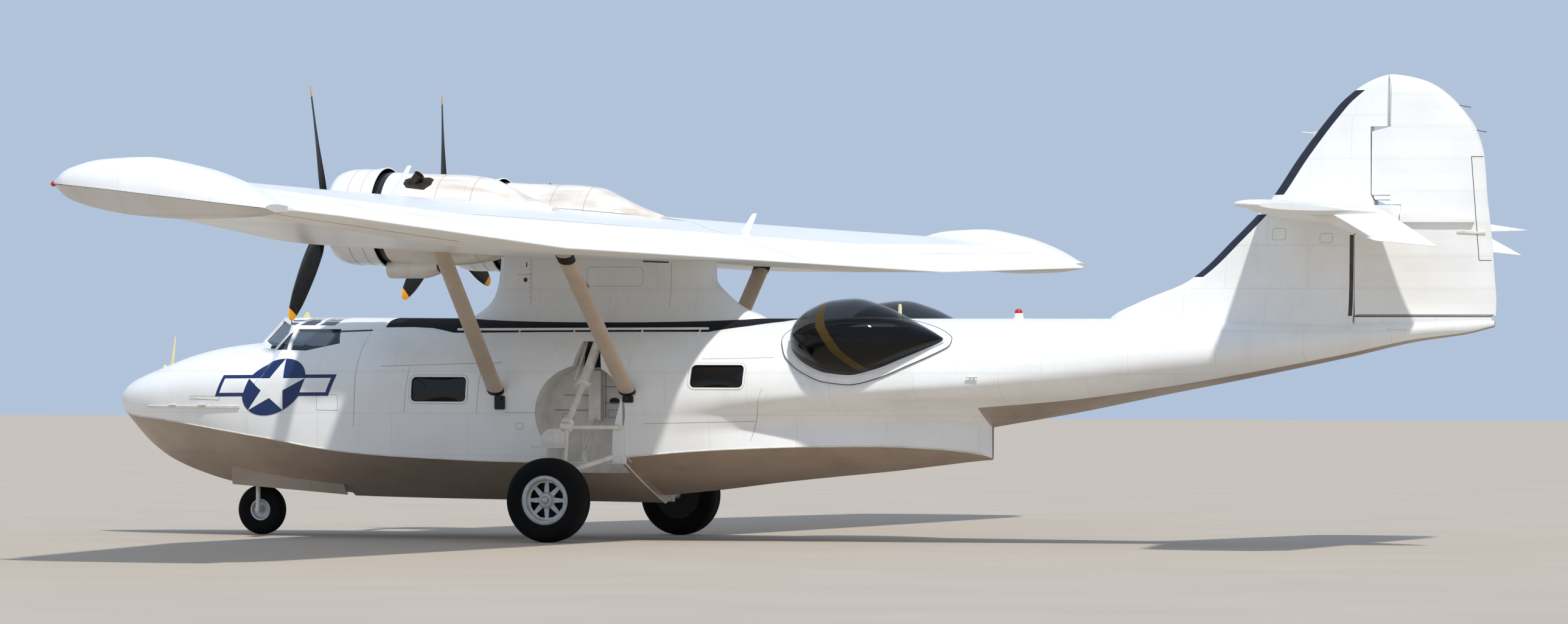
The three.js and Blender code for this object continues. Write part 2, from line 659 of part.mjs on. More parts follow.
// Pylon sections. Columns: height, front x, back x, half breadth
const PYLON_ROWS = [
  [2700, 5100, 9650, 620],
  [2975, 5270, 9480, 520],
  [3130, 5480, 9150, 440],
  [3300, 5600, 8930, 400],
  [3500, 5650, 8770, 385],
  [4000, 5700, 8750, 385],
];
const PYLON_SIDES = 20;

function buildPylon(wing, hull) {
  const rings = PYLON_ROWS.map(([z, front, back, halfBreadth]) => {
    const middle = (front + back) / 2;
    return Array.from({ length: PYLON_SIDES }, (unused, i) => {
      const angle = (i / PYLON_SIDES) * 2 * Math.PI;
      const round = (value, power) => Math.sign(value) * Math.abs(value) ** power;
      return [middle + ((back - front) / 2) * round(Math.cos(angle), 0.85), halfBreadth * round(Math.sin(angle), 0.75), z];
    });
  });
  const pylon = solidOf(loft(rings, 2));
  const above = box([0, -3000, 4000], [30000, 3000, 9000]);
  addMesh('pylon', pylon.subtract(seatOf(wing, [0, 0, -1])).subtract(above).subtract(seatOf(hull, [0, 0, 1])), 'white');
}

const STRUTS = [
  { place: 'front', foot: [6210, 1440, 1890], head: [6290, 3810, 3960] },
  { place: 'rear', foot: [8090, 1440, 1900], head: [8070, 3810, 3760] },
];
const STRUT_SIZE = { halfChord: 118, halfThickness: 42 };

function strutSolid(foot, head) {
  const rings = [foot, head].map(([x, y, z]) => Array.from({ length: 16 }, (unused, i) => {
    const angle = (i / 16) * 2 * Math.PI;
    return [x + STRUT_SIZE.halfChord * Math.cos(angle), y, z + STRUT_SIZE.halfThickness * 1.35 * Math.sin(angle)];
  }));
  return solidOf(loft(rings, 1));
}

function buildStruts(wing, hull) {
  const wingSeat = seatOf(wing, [0, 0, -1]);
  const hullSeat = seatOf(hull, [0, 1, 0], [0, 0, 1]);
  for (const { place, foot, head } of STRUTS) {
    const strut = strutSolid(foot, head).subtract(wingSeat).subtract(hullSeat);
    for (const [name, side] of Object.entries(SIDES)) {
      addMesh(`strut_${place}_${name}`, mirrored(strut, side), 'strut');
    }
  }
}

// Nacelle behind the cowling. Columns: station, centre height, half height, half breadth
const NACELLE_ROWS = [
  [4790, 4300, 570, 570],
  [4900, 4293, 605, 600],
  [5400, 4262, 610, 592],
  [5900, 4255, 602, 580],
  [6350, 4256, 550, 545],
  [6600, 4250, 445, 480],
  [6900, 4235, 315, 370],
  [7250, 4205, 215, 220],
];
const SCOOP = { fore: 4620, aft: 5620, z: 3610, halfWidth: 190, halfHeight: 130 };

function nacelleRing([x, z, halfHeight, halfBreadth], sides) {
  return Array.from({ length: sides }, (unused, i) => {
    const angle = ((i + 0.5) / sides) * 2 * Math.PI;
    return [x, halfBreadth * Math.cos(angle), z + halfHeight * Math.sin(angle)];
  });
}

function buildNacelles(wing) {
  const body = solidOf(loft(NACELLE_ROWS.map((row) => nacelleRing(row, 24)), 0));
  const scoopRows = [
    [SCOOP.fore + 290, SCOOP.z, SCOOP.halfHeight, SCOOP.halfWidth],
    [SCOOP.aft - 250, SCOOP.z, SCOOP.halfHeight, SCOOP.halfWidth],
    [SCOOP.aft, SCOOP.z + 30, SCOOP.halfHeight * 0.75, SCOOP.halfWidth * 0.85],
  ];
  const scoop = solidOf(loft(scoopRows.map((row) => nacelleRing(row, 16)), 0));
  const exhaust = tube([5330, 330, 4700], [5560, 390, 4960], 70, 12);
  const whole = body.add(scoop).add(exhaust);
  const seat = seatOf(wing, [-1, 0, 0], [0, 0, 1], [0, 0, -1]);
  for (const [name, side] of Object.entries(SIDES)) {
    const placed = moved(mirrored(whole, side), [0, ENGINE.y * side, 0]);
    addMesh(`nacelle_${name}`, placed.subtract(seat), 'white');
  }
}

// Cowling outline as [radius, distance behind its front], outside then inside
const ENGINE_SIDES = 24;
const COWL_WALL = 16;
const COWL_OUTLINE = [
  [455, 60],
  [490, 5],
  [570, 30],
  [615, 130],
  [ENGINE.cowlRadius, 280],
  [ENGINE.cowlRadius, 570],
  [ENGINE.cowlRadius + 24, 690],
  [ENGINE.cowlRadius + 8, 694],
  [ENGINE.cowlRadius - COWL_WALL, 570],
  [ENGINE.cowlRadius - COWL_WALL, 280],
  [590, 140],
  [500, 70],
  [455, 60],
];
const ENGINE_BLOCK = {
  fore: 190,
  aft: NACELLE_ROWS[0][0] - ENGINE.x - SEAT_GAP,
  radius: 545,
  noseRadius: 190,
  noseFore: ENGINE.propX + HUB_AFT - ENGINE.x + SEAT_GAP,
  baffle: [400, 430],
  baffleRadius: ENGINE.cowlRadius - COWL_WALL - SEAT_GAP,
};

function buildEngines() {
  for (const [name, side] of Object.entries(SIDES)) {
    const mount = new THREE.Group();
    mount.position.set(ENGINE.x, ENGINE.y * side, ENGINE.z);
    aircraft.add(mount);
    addMesh(`cowling_${name}`, turned(COWL_OUTLINE, 'x', ENGINE_SIDES), 'white', mount);
    addMesh(`engine_${name}`, engineSolid(), 'steel', mount);
    const propeller = addMesh(`propeller_${name}`, propellerSolid(), 'black', mount);
    propeller.position.x = ENGINE.propX - ENGINE.x;
    propeller.rotation.x = PROPELLER_REST[name];
  }
}

function engineSolid() {
  const outline = [
    [0, ENGINE_BLOCK.noseFore],
    [ENGINE_BLOCK.noseRadius * 0.6, ENGINE_BLOCK.noseFore],
    [ENGINE_BLOCK.noseRadius, ENGINE_BLOCK.noseFore + 120],
    [ENGINE_BLOCK.noseRadius + 60, ENGINE_BLOCK.fore],
    [ENGINE_BLOCK.radius, ENGINE_BLOCK.fore],
    [ENGINE_BLOCK.radius, ENGINE_BLOCK.baffle[0]],
    [ENGINE_BLOCK.baffleRadius, ENGINE_BLOCK.baffle[0]],
    [ENGINE_BLOCK.baffleRadius, ENGINE_BLOCK.baffle[1]],
    [ENGINE_BLOCK.radius, ENGINE_BLOCK.baffle[1]],
    [ENGINE_BLOCK.radius, ENGINE_BLOCK.aft],
    [0, ENGINE_BLOCK.aft],
  ];
  const block = turned(outline, 'x', ENGINE_SIDES);
  return solidOf(block);
}

// Propeller blade. Columns: radius from the hub, chord, thickness, pitch angle in degrees
const BLADE_ROWS = [
  [90, 120, 110, 60],
  [300, 130, 90, 52],
  [600, 235, 52, 42],
  [1000, 262, 36, 32],
  [1400, 240, 26, 25],
  [1700, 165, 18, 21],
  [1830, 60, 12, 20],
];
const BLADE_SIDES = 8;
const PROPELLER_REST = { port: 0.33, starboard: 0.08 };
const HUB_OUTLINE = [[0, -170], [55, -170], [95, -110], [120, -40], [120, 60], [90, HUB_AFT], [0, HUB_AFT]];

function bladeSolid(turn) {
  const rings = BLADE_ROWS.map(([radius, chord, thickness, pitch]) => {
    const angle = THREE.MathUtils.degToRad(pitch);
    return Array.from({ length: BLADE_SIDES }, (unused, i) => {
      const around = (i / BLADE_SIDES) * 2 * Math.PI;
      const along = (chord / 2) * Math.cos(around);
      const through = (thickness / 2) * Math.sin(around);
      return [
        through * Math.cos(angle) - along * Math.sin(angle),
        along * Math.cos(angle) + through * Math.sin(angle),
        radius,
      ];
    });
  });
  const geometry = loft(rings, 2).rotateX(turn);
  return solidOf(geometry);
}

function propellerSolid() {
  let propeller = solidOf(turned(HUB_OUTLINE, 'x', 20));
  for (let blade = 0; blade < 3; blade += 1) {
    propeller = propeller.add(bladeSolid((blade * 2 * Math.PI) / 3));
  }
  return propeller;
}

// Upright tail surface. Columns: height, front x, back x, half thickness at its thickest
const FIN_ROWS = [
  [2800, 14200, 19440, 330],
  [2985, 14300, 19450, 250],
  [3200, 14720, 19460, 190],
  [3460, 15350, 19440, 160],
  [4000, 15960, 19400, 145],
  [4530, 16470, 19340, 130],
  [5040, 16820, 19300, 118],
  [5420, 17105, 19192, 104],
  [5760, 17390, 18962, 84],
  [5965, 17640, 18578, 60],
  [6090, 17880, 18180, 32],
  [6150, 17990, 18070, 12],
];
const RUDDER_HINGE_X = 18090;
const RUDDER_SPLIT = [
  [18050, 6300],
  [18050, 5440],
  [17840, 5390],
  [17840, 4580],
  [17890, 4505],
  [18030, 4448],
  [18030, 4060],
  [17620, 4060],
  [17620, 3005],
];
const FIN_OUTLINE = [
  [18050, 6300],
  [18050, 5410],
  [17840, 5360],
  [17840, 4550],
  [17870, 4490],
  [17870, 4400],
  [17870, 4060],
  [17620, 4050],
  [17620, 2000],
  [13000, 2000],
  [13000, 6300],
];
const FIN_STEPS = 8;

function finSolid() {
  const rings = FIN_ROWS.map(([z, front, back, half]) => {
    const chord = back - front;
    const side = Array.from({ length: FIN_STEPS + 1 }, (unused, i) => {
      const t = (1 - Math.cos((i / FIN_STEPS) * Math.PI)) / 2;
      const swell = 2.6 * Math.sqrt(t) * (1 - t) ** 0.8;
      return [front + t * chord, Math.max(half * Math.min(swell, 1), i === FIN_STEPS ? 8 : 0), z];
    });
    const other = side.slice(1).reverse().map(([x, y, pz]) => [x, -y, pz]);
    return [...side, ...other];
  });
  return solidOf(loft(rings, 2));
}

// Room that the turning rudder sweeps. Columns: lowest and highest height, reach ahead of the hinge
const RUDDER_SWEEP = [
  [2000, 4068, 500],
  [4440, 4500, 215],
  [4500, 4560, 260],
  [4560, 5455, 290],
  [5455, 6300, 106],
];
const RUDDER_CLEARANCE = 8;

// Fixed stub between the two parts of the rudder's nose, and the wedges on the rudder behind it that
// carry on the tailplane's line. The wedge's columns: station, half breadth, bottom, top
const FIN_STUB = { fore: 17300, full: 17860, halfBreadth: 180, low: 4072, high: 4432 };
const RUDDER_WEDGE = [
  [18230, 180, 4212, 4356],
  [18700, 150, 4210, 4300],
  [19180, 100, 4208, 4240],
];

function stubSolid(grow) {
  const { fore, full, halfBreadth, low, high } = FIN_STUB;
  const outline = [[fore, 40], [full, halfBreadth], [RUDDER_HINGE_X, halfBreadth]];
  const across = [...outline, ...outline.toReversed().map(([x, y]) => [x, -y])];
  const round = new THREE.CylinderGeometry(halfBreadth + grow, halfBreadth + grow, high - low + 2 * grow, 48);
  const post = solidOf(round.rotateX(Math.PI / 2).translate(RUDDER_HINGE_X, 0, (low + high) / 2));
  return post.add(planPrism(across, low - grow, high + grow));
}

function wedgeSolid() {
  const rings = RUDDER_WEDGE.map(([x, halfBreadth, low, high]) => [
    [x, -halfBreadth, low],
    [x, halfBreadth, low],
    [x, halfBreadth, high],
    [x, -halfBreadth, high],
  ]);
  return solidOf(loft(rings, 0));
}

function buildFinAndRudder(tail) {
  const whole = finSolid();
  const fin = whole.subtract(seatOf(tail, [0, 0, 1])).intersect(sidePrism(FIN_OUTLINE, -800, 800));
  const sweepSolid = ([low, high, reach], shrink) => {
    const round = new THREE.CylinderGeometry(reach - shrink, reach - shrink, high - low, 48).rotateX(Math.PI / 2);
    return solidOf(round.translate(RUDDER_HINGE_X, 0, (low + high) / 2));
  };
  const cut = RUDDER_SWEEP.reduce((body, row) => body.subtract(sweepSolid(row, 0)), fin).add(stubSolid(0));
  addMesh('fin', cut, 'white');
  const aftOutline = [...RUDDER_SPLIT, [20000, 3005], [20000, 6300]];
  const stubRoom = stubSolid(RUDDER_CLEARANCE).add(box([17000, -400, 4064], [RUDDER_HINGE_X, 400, 4440]));
  const behindHinge = box([RUDDER_HINGE_X, -800, 2000], [20000, 800, 6300]);
  const turning = RUDDER_SWEEP.reduce((body, row) => body.add(sweepSolid(row, RUDDER_CLEARANCE)), behindHinge);
  const blade = whole.intersect(sidePrism(aftOutline, -800, 800)).intersect(turning);
  const rudder = blade.add(wedgeSolid()).subtract(stubRoom);
  addMesh('rudder', rudder, 'fabricWhite');
  return cut;
}

// Tailplane. Columns as the wing's
const TAILPLANE_ROWS = [
  [0, 16350, 4400, 18930, 4212, 0.1],
  [4060, 17107, 4335, 18960, 4214, 0.09],
  [4400, 17170, 4330, 18860, 4222, 0.088],
  [4650, 17560, 4305, 18700, 4232, 0.07],
];

function tailplaneLoft() {
  const rows = TAILPLANE_ROWS.map((row) => [...row, 7, 0]);
  const port = [...rows].reverse().slice(0, -1).map(([y, ...rest]) => [-y, ...rest]);
  return solidOf(loft([...port, ...rows].map((row) => wingRing(...row)), 1));
}

function elevatorOutline(gap) {
  const { inboard, outboard, inboardTrail, outboardTrail } = ELEVATOR;
  return [
    [inboard[0], inboard[1] + gap],
    [19100, inboardTrail + 130 + gap],
    [19100, outboardTrail + 100 - gap],
    [outboard[0], outboard[1] - gap],
  ];
}

function buildTailplane(fin) {
  const whole = tailplaneLoft();
  const [hingeX, , hingeZ] = ELEVATOR.inboard;
  const hole = planPrism(elevatorOutline(0), 3000, 6000)
    .add(hingeNose(ELEVATOR, 0, COVE_GAP))
    .add(hingePins(ELEVATOR, CONTROL_GAP, false, HINGE_PIN.clearance));
  const zone = planPrism(elevatorOutline(CONTROL_GAP), 3000, 6000);
  const inboardRest = box([hingeX - 90, -900, 3000], [20000, 900, 6000]);
  const fixed = whole.subtract(hole).subtract(inboardRest).subtract(seatOf(fin, [0, 1, 0], [1, 0, 0]));
  const half = fixed.intersect(box([0, 20, 0], [30000, 9000, 9000]));
  const elevator = whole.intersect(zone)
    .add(hingeNose(ELEVATOR, CONTROL_GAP))
    .add(hingePins(ELEVATOR, CONTROL_GAP, false));
  for (const [name, side] of Object.entries(SIDES)) {
    addMesh(`tailplane_${name}`, mirrored(half, side), 'white');
    const geometry = geometryOf(mirrored(elevator, side));
    geometry.translate(-hingeX, 0, -hingeZ);
    const mesh = addMesh(`elevator_${name}`, geometry, 'fabricWhite');
    mesh.position.set(hingeX, 0, hingeZ);
    mesh.rotation.y = ELEVATOR_DROOP;
  }
}

// Wheels lie about the Y axis. Outlines are [radius, across]
function tyreOutline({ radius, halfWidth, rimRadius }, flatFactor) {
  const r = radius * flatFactor;
  return [
    [rimRadius, -halfWidth * 0.72],
    [rimRadius + 30, -halfWidth * 0.9],
    [rimRadius + (r - rimRadius) * 0.55, -halfWidth],
    [r - 45, -halfWidth * 0.8],
    [r, -halfWidth * 0.42],
    [r, halfWidth * 0.42],
    [r - 45, halfWidth * 0.8],
    [rimRadius + (r - rimRadius) * 0.55, halfWidth],
    [rimRadius + 30, halfWidth * 0.9],
    [rimRadius, halfWidth * 0.72],
    [rimRadius, -halfWidth * 0.72],
  ];
}

function rimOutline({ halfWidth, rimRadius }, boreRadius) {
  const r = rimRadius - 0.6;
  return [
    [boreRadius, -halfWidth * 0.5],
    [r * 0.5, -halfWidth * 0.5],
    [r * 0.8, -halfWidth * 0.2],
    [r, -halfWidth * 0.7],
    [r, halfWidth * 0.7],
    [r * 0.8, halfWidth * 0.3],
    [r * 0.5, halfWidth * 0.5],
    [boreRadius, halfWidth * 0.5],
    [boreRadius, -halfWidth * 0.5],
  ];
}

const TYRE_SIDES = 28;
const TYRE_FLAT = 1 / Math.cos(Math.PI / TYRE_SIDES);

function addWheel(name, size, boreRadius, place) {
  const hub = new THREE.Group();
  hub.position.set(...place);
  aircraft.add(hub);
  const start = Math.PI / TYRE_SIDES;
  addMesh(`tyre_${name}`, turned(tyreOutline(size, TYRE_FLAT), 'y', TYRE_SIDES, start), 'tyre', hub);
  addMesh(`wheel_${name}`, turned(rimOutline(size, boreRadius), 'y', TYRE_SIDES, start), 'wheel', hub);
}

const BORE_GAP = 1;
const MAIN_AXLE = { radius: 45, innerY: 2080 };
const KNUCKLE = [7410, 2020, 1510];
const COLLAR = [7470, 1560, 2080];
const LEG_TOP = [7490, 950, 2760];
const MUDGUARD = { fore: 7050, aft: 7440, y: 2095, shelfZ: 1240, thickness: 20 };

// Rods of the main gear, outboard end first. Columns: one end, other end, radius, sides
const GEAR_RODS = [
  [[7370, MAIN_AXLE.innerY, 470], KNUCKLE, 44, 10],
  [KNUCKLE, COLLAR, 42, 12],
  [COLLAR, LEG_TOP, 66, 12],
  [KNUCKLE, [8036, 1490, 1510], 28, 8],
  [[7380, MAIN_AXLE.innerY, 900], [WELL.footAft + 25, 1300, 1190], 36, 8],
];

function mudguardOutline({ fore, aft, shelfZ }) {
  const top = shelfZ + 250;
  return [[fore + 40, shelfZ], [aft - 20, shelfZ], [aft - 20, top - 50], [aft - 90, top], [fore + 150, top], [fore + 60, top - 70]];
}

function buildMainGear(hull) {
  const { x, y, radius, halfWidth } = MAIN_WHEEL;
  const { fore, aft, y: guardY, shelfZ, thickness } = MUDGUARD;
  const rods = GEAR_RODS.map((row) => tube(...row));
  const axle = tube([x, MAIN_AXLE.innerY - 60, radius], [x, y + halfWidth * 0.55, radius], MAIN_AXLE.radius, 16);
  const parts = [
    sidePrism(mudguardOutline(MUDGUARD), guardY, guardY + thickness),
    box([fore, guardY, shelfZ], [aft, guardY + 290, shelfZ + thickness]),
    box([KNUCKLE[0] - 30, KNUCKLE[1] - 10, shelfZ], [KNUCKLE[0] + 20, guardY + 10, shelfZ + 50]),
    tube([KNUCKLE[0] - 70, KNUCKLE[1], KNUCKLE[2]], [KNUCKLE[0] + 70, KNUCKLE[1], KNUCKLE[2]], 58, 12),
  ];
  const whole = [...rods, ...parts].reduce((body, part) => body.add(part), axle);
  for (const [name, side] of Object.entries(SIDES)) {
    const seat = seatOf(hull, [0, side, 0], [-1, 0, 0]);
    addMesh(`main_leg_${name}`, mirrored(whole, side).subtract(seat), 'white');
    addWheel(`main_${name}`, MAIN_WHEEL, MAIN_AXLE.radius + BORE_GAP, [x, y * side, radius]);
  }
}

const NOSE_AXLE_RADIUS = 30;

function buildNoseGear() {
  const { x, radius, halfWidth } = NOSE_WHEEL;
  const armRadius = 32;
  const armY = halfWidth + 10 + armRadius;
  const axle = tube([x, -armY - 46, radius], [x, armY + 46, radius], NOSE_AXLE_RADIUS, 12);
  const crown = box([x - 45, -armY - armRadius, radius + 370], [x + 45, armY + armRadius, radius + 430]);
  const leg = tube([x, 0, radius + 400], [x, 0, NOSE_BAY.roofZ - SEAT_GAP], 58, 16);
  let fork = axle.add(crown).add(leg);
  for (const side of [-1, 1]) {
    fork = fork.add(tube([x, armY * side, radius - 40], [x, armY * side, radius + 400], armRadius, 12));
  }
  addMesh('nose_leg', fork, 'white');
  addWheel('nose', NOSE_WHEEL, NOSE_AXLE_RADIUS + BORE_GAP, [x, 0, radius]);
}

// Bay door hanging open: side outline corners and place
const DOOR_OUTLINE = [[1815, 1072], [1840, 692], [3558, 562], [3450, 842], [2604, 936]];
const DOOR = { innerY: 350, thickness: 28 };

function buildNoseDoors(bow) {
  const door = sidePrism(DOOR_OUTLINE, DOOR.innerY, DOOR.innerY + DOOR.thickness);
  for (const [name, side] of Object.entries(SIDES)) {
    const seat = seatOf(bow, [0, 0, -1], [0, side, 0]);
    addMesh(`nose_door_${name}`, mirrored(door, side).subtract(seat), 'white');
  }
}

const bow = buildBow();
buildCanopy(bow);
const { outer: centre, hull: centreHull } = buildCentre();
const waist = buildWaist();
const tail = buildTail();
buildSidePanes();
const wing = buildWing();
buildFloats();
const middleHull = centre.add(waist);
buildPylon(wing, middleHull);
buildStruts(wing, middleHull);
buildNacelles(wing);
buildEngines();
const fin = buildFinAndRudder(tail);
buildTailplane(fin);
buildMainGear(centreHull);
buildNoseGear();
buildNoseDoors(bow);

export default aircraft;
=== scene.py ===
# %% [markdown]
# This scene dresses a twin-engined flying boat, which stands on its own wheels. The frame is the
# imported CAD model: it fixes every size, place and joint. Each visible piece is modelled here again with
# finer curves, given its real finish, and tied to the body of the frame that it moves with.

# %% Frame
import math

import bmesh
import bpy
from mathutils import Matrix, Vector
from mathutils.bvhtree import BVHTree


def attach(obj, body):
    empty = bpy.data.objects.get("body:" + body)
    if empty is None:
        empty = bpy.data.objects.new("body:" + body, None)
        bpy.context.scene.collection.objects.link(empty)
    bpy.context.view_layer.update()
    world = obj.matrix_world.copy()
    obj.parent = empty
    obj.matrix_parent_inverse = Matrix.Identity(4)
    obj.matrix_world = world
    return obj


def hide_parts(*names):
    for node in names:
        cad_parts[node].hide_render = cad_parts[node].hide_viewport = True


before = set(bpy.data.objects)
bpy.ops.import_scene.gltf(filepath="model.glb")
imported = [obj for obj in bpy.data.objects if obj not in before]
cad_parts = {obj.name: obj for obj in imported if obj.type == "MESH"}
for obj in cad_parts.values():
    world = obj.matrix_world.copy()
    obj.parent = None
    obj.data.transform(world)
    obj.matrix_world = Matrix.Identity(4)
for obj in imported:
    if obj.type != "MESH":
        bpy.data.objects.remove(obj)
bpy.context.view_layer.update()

# %% [markdown]
# A hull is set out in stations, counted aft from the nose, and heights from the ground.
# The tables below are in those millimetres, so that they read like a lines plan. When a piece is
# finished, one matrix takes it to metres with the origin on the ground under mid-length, where the
# frame has it.

# %% Stations to metres
LENGTH = 19460
SIDES = {"port": -1, "starboard": 1}
TO_FRAME = Matrix.Translation((-LENGTH / 2000, 0, 0)) @ Matrix.Scale(0.001, 4)
scene = bpy.context.scene
print("length", LENGTH, "mm")

# %% [markdown]
# The camera stands where the photograph was taken: about 80 metres off the port rear quarter, a little
# above head height, with a long lens. Its turn is written as three angles, and the lens follows from
# the picture's width and the focal length in pixels.

# %% Camera
FRAME_PIXELS = 2576
FOCAL_PIXELS = 10153
SENSOR_MM = 36
CAMERA_PLACE = Vector((27.602, -78.002, 1.983))
YAW = 0.34
PITCH = 0.013
ROLL = 0.004


def add_camera():
    ahead = Vector((-math.sin(YAW), math.cos(YAW), 0))
    right = Vector((math.cos(YAW), math.sin(YAW), 0))
    up = Vector((0, 0, 1))
    look = math.cos(PITCH) * ahead + math.sin(PITCH) * up
    over = -math.sin(PITCH) * ahead + math.cos(PITCH) * up
    across = math.cos(ROLL) * right + math.sin(ROLL) * over
    above = -math.sin(ROLL) * right + math.cos(ROLL) * over
    data = bpy.data.cameras.new("camera")
    data.sensor_width = SENSOR_MM
    data.lens = SENSOR_MM * FOCAL_PIXELS / FRAME_PIXELS
    data.clip_start = 1
    data.clip_end = 3000
    camera = bpy.data.objects.new("camera", data)
    turn = Matrix((across, above, -look)).transposed().to_4x4()
    camera.matrix_world = Matrix.Translation(CAMERA_PLACE) @ turn
    scene.collection.objects.link(camera)
    scene.camera = camera
    return data.lens


print("lens", round(add_camera(), 1), "mm")

# %% [markdown]
# The light is a plain studio: a pale blue dome all round, one sun high off the port rear quarter, with
# shadows whose edges are a little soft, and a pale floor that throws some light back under the hull.

# %% Light and floor
DOME = {"colour": "#c2d5ee", "strength": 0.82}
SUN = {"energy": 3.0, "spread": 2.2, "toward": (0.43, -0.55, 1.0), "colour": (1.0, 0.985, 0.955)}
FLOOR = {"radius": 400, "dark": "#b0a292", "light": "#bbb0a2"}


def linear(code):
    """An sRGB hex colour as linear RGBA."""
    parts = [int(code[i:i + 2], 16) / 255 for i in (1, 3, 5)]
    return (*[p / 12.92 if p <= 0.04045 else ((p + 0.055) / 1.055) ** 2.4 for p in parts], 1)


def add(tree, kind, links=None, **settings):
    """A shader node with its settings, its values and its links."""
    node = tree.nodes.new("ShaderNode" + kind)
    for key, value in settings.items():
        setattr(node, key, value)
    for key, value in (links or {}).items():
        if isinstance(value, bpy.types.NodeSocket):
            tree.links.new(value, node.inputs[key])
        else:
            node.inputs[key].default_value = value
    return node


def add_light():
    world = bpy.data.worlds.new("studio")
    scene.world = world
    world.use_nodes = True
    background = world.node_tree.nodes["Background"]
    background.inputs["Color"].default_value = linear(DOME["colour"])
    background.inputs["Strength"].default_value = DOME["strength"]
    sun = bpy.data.objects.new("sun", bpy.data.lights.new("sun", "SUN"))
    sun.data.energy = SUN["energy"]
    sun.data.angle = math.radians(SUN["spread"])
    sun.data.color = SUN["colour"]
    sun.rotation_mode = "QUATERNION"
    sun.rotation_quaternion = Vector(SUN["toward"]).to_track_quat("Z", "Y")
    scene.collection.objects.link(sun)
    scene.view_settings.view_transform = "Standard"


def add_floor():
    bm = bmesh.new()
    bmesh.ops.create_circle(bm, cap_ends=True, segments=96, radius=FLOOR["radius"])
    mesh = bpy.data.meshes.new("floor")
    bm.to_mesh(mesh)
    floor = bpy.data.objects.new("floor", mesh)
    scene.collection.objects.link(floor)
    material = bpy.data.materials.new("pale floor")
    material.use_nodes = True
    tree = material.node_tree
    shader = tree.nodes["Principled BSDF"]
    place = add(tree, "TexCoord").outputs["Object"]
    cloud = add(tree, "TexNoise", {"Vector": place, "Scale": 0.4, "Detail": 4})
    tone = add(tree, "ValToRGB", {"Fac": cloud.outputs["Fac"]})
    tone.color_ramp.elements[0].color = linear(FLOOR["dark"])
    tone.color_ramp.elements[1].color = linear(FLOOR["light"])
    tree.links.new(tone.outputs["Color"], shader.inputs["Base Color"])
    shader.inputs["Roughness"].default_value = 0.85
    mesh.materials.append(material)


add_light()
add_floor()
print("light and floor set")

# %% [markdown]
# A finish starts as the shader that comes with a new material. The helper names it and sets the numbers
# that are the same all over the surface, and each finish then adds its own colour and relief.

# %% Base of a finish
def finish(name, roughness=0.5, metallic=0.0, **extra):
    material = bpy.data.materials.new(name)
    material.use_nodes = True
    tree = material.node_tree
    shader = tree.nodes["Principled BSDF"]
    shader.inputs["Roughness"].default_value = roughness
    shader.inputs["Metallic"].default_value = metallic
    for key, value in extra.items():
        shader.inputs[key.replace("_", " ")].default_value = value
    return material, tree, shader


def mix(tree, share, under, over):
    """Colour under, covered by over where share is 1."""
    colours = {6: under, 7: over, 0: share}
    return add(tree, "Mix", colours, data_type="RGBA").outputs[2]


def maths(tree, operation, *values):
    return add(tree, "Math", dict(enumerate(values)), operation=operation).outputs[0]


def ramp(tree, value, low, high):
    """Share that goes from 0 at low to 1 at high."""
    return add(tree, "MapRange", {0: value, 1: low, 2: high}).outputs[0]


print("finish helpers ready")

# %% [markdown]
# The airframe is aluminium alloy sheet, flush riveted over frames, with a gloss white enamel on it that
# has aged: it has chalked a little, dirt has settled in the lap joints and run down from them. The lap
# joints are a brick pattern about a metre long and half a metre high, the sheet sizes on a hull like
# this. Rivets are 25 mm apart on the real one and would not show, so they are drawn at 70 mm.

# %% Enamel on alloy sheet
SHEET_LENGTH = 1.12
SHEET_HEIGHT = 0.56
SEAM_WIDTH = 0.0045
RIVET_PITCH = 0.07
RIVET_RADIUS = 0.0055
RIVET_FROM_JOINT = 0.022


def sheet_seams(tree, along, up, length=SHEET_LENGTH, height=SHEET_HEIGHT):
    """1 in a lap joint, 0 on the sheet."""
    plane = add(tree, "CombineXYZ", {0: along, 1: up})
    sizes = {"Vector": plane.outputs[0], "Scale": 1, "Mortar Size": SEAM_WIDTH, "Mortar Smooth": 0.35,
             "Brick Width": length, "Row Height": height}
    return add(tree, "TexBrick", sizes, offset=0.5).outputs["Fac"]


def rivet_rows(tree, along, up, height=SHEET_HEIGHT):
    """1 on a rivet head. The rows run just above and below each lap joint."""
    across = maths(tree, "SUBTRACT", maths(tree, "PINGPONG", up, height / 2), RIVET_FROM_JOINT)
    step = maths(tree, "SUBTRACT", maths(tree, "PINGPONG", along, RIVET_PITCH / 2), RIVET_PITCH / 4)
    squares = [maths(tree, "POWER", distance, 2) for distance in (across, step)]
    reach = maths(tree, "SQRT", maths(tree, "ADD", *squares))
    return ramp(tree, reach, RIVET_RADIUS, RIVET_RADIUS * 0.55)


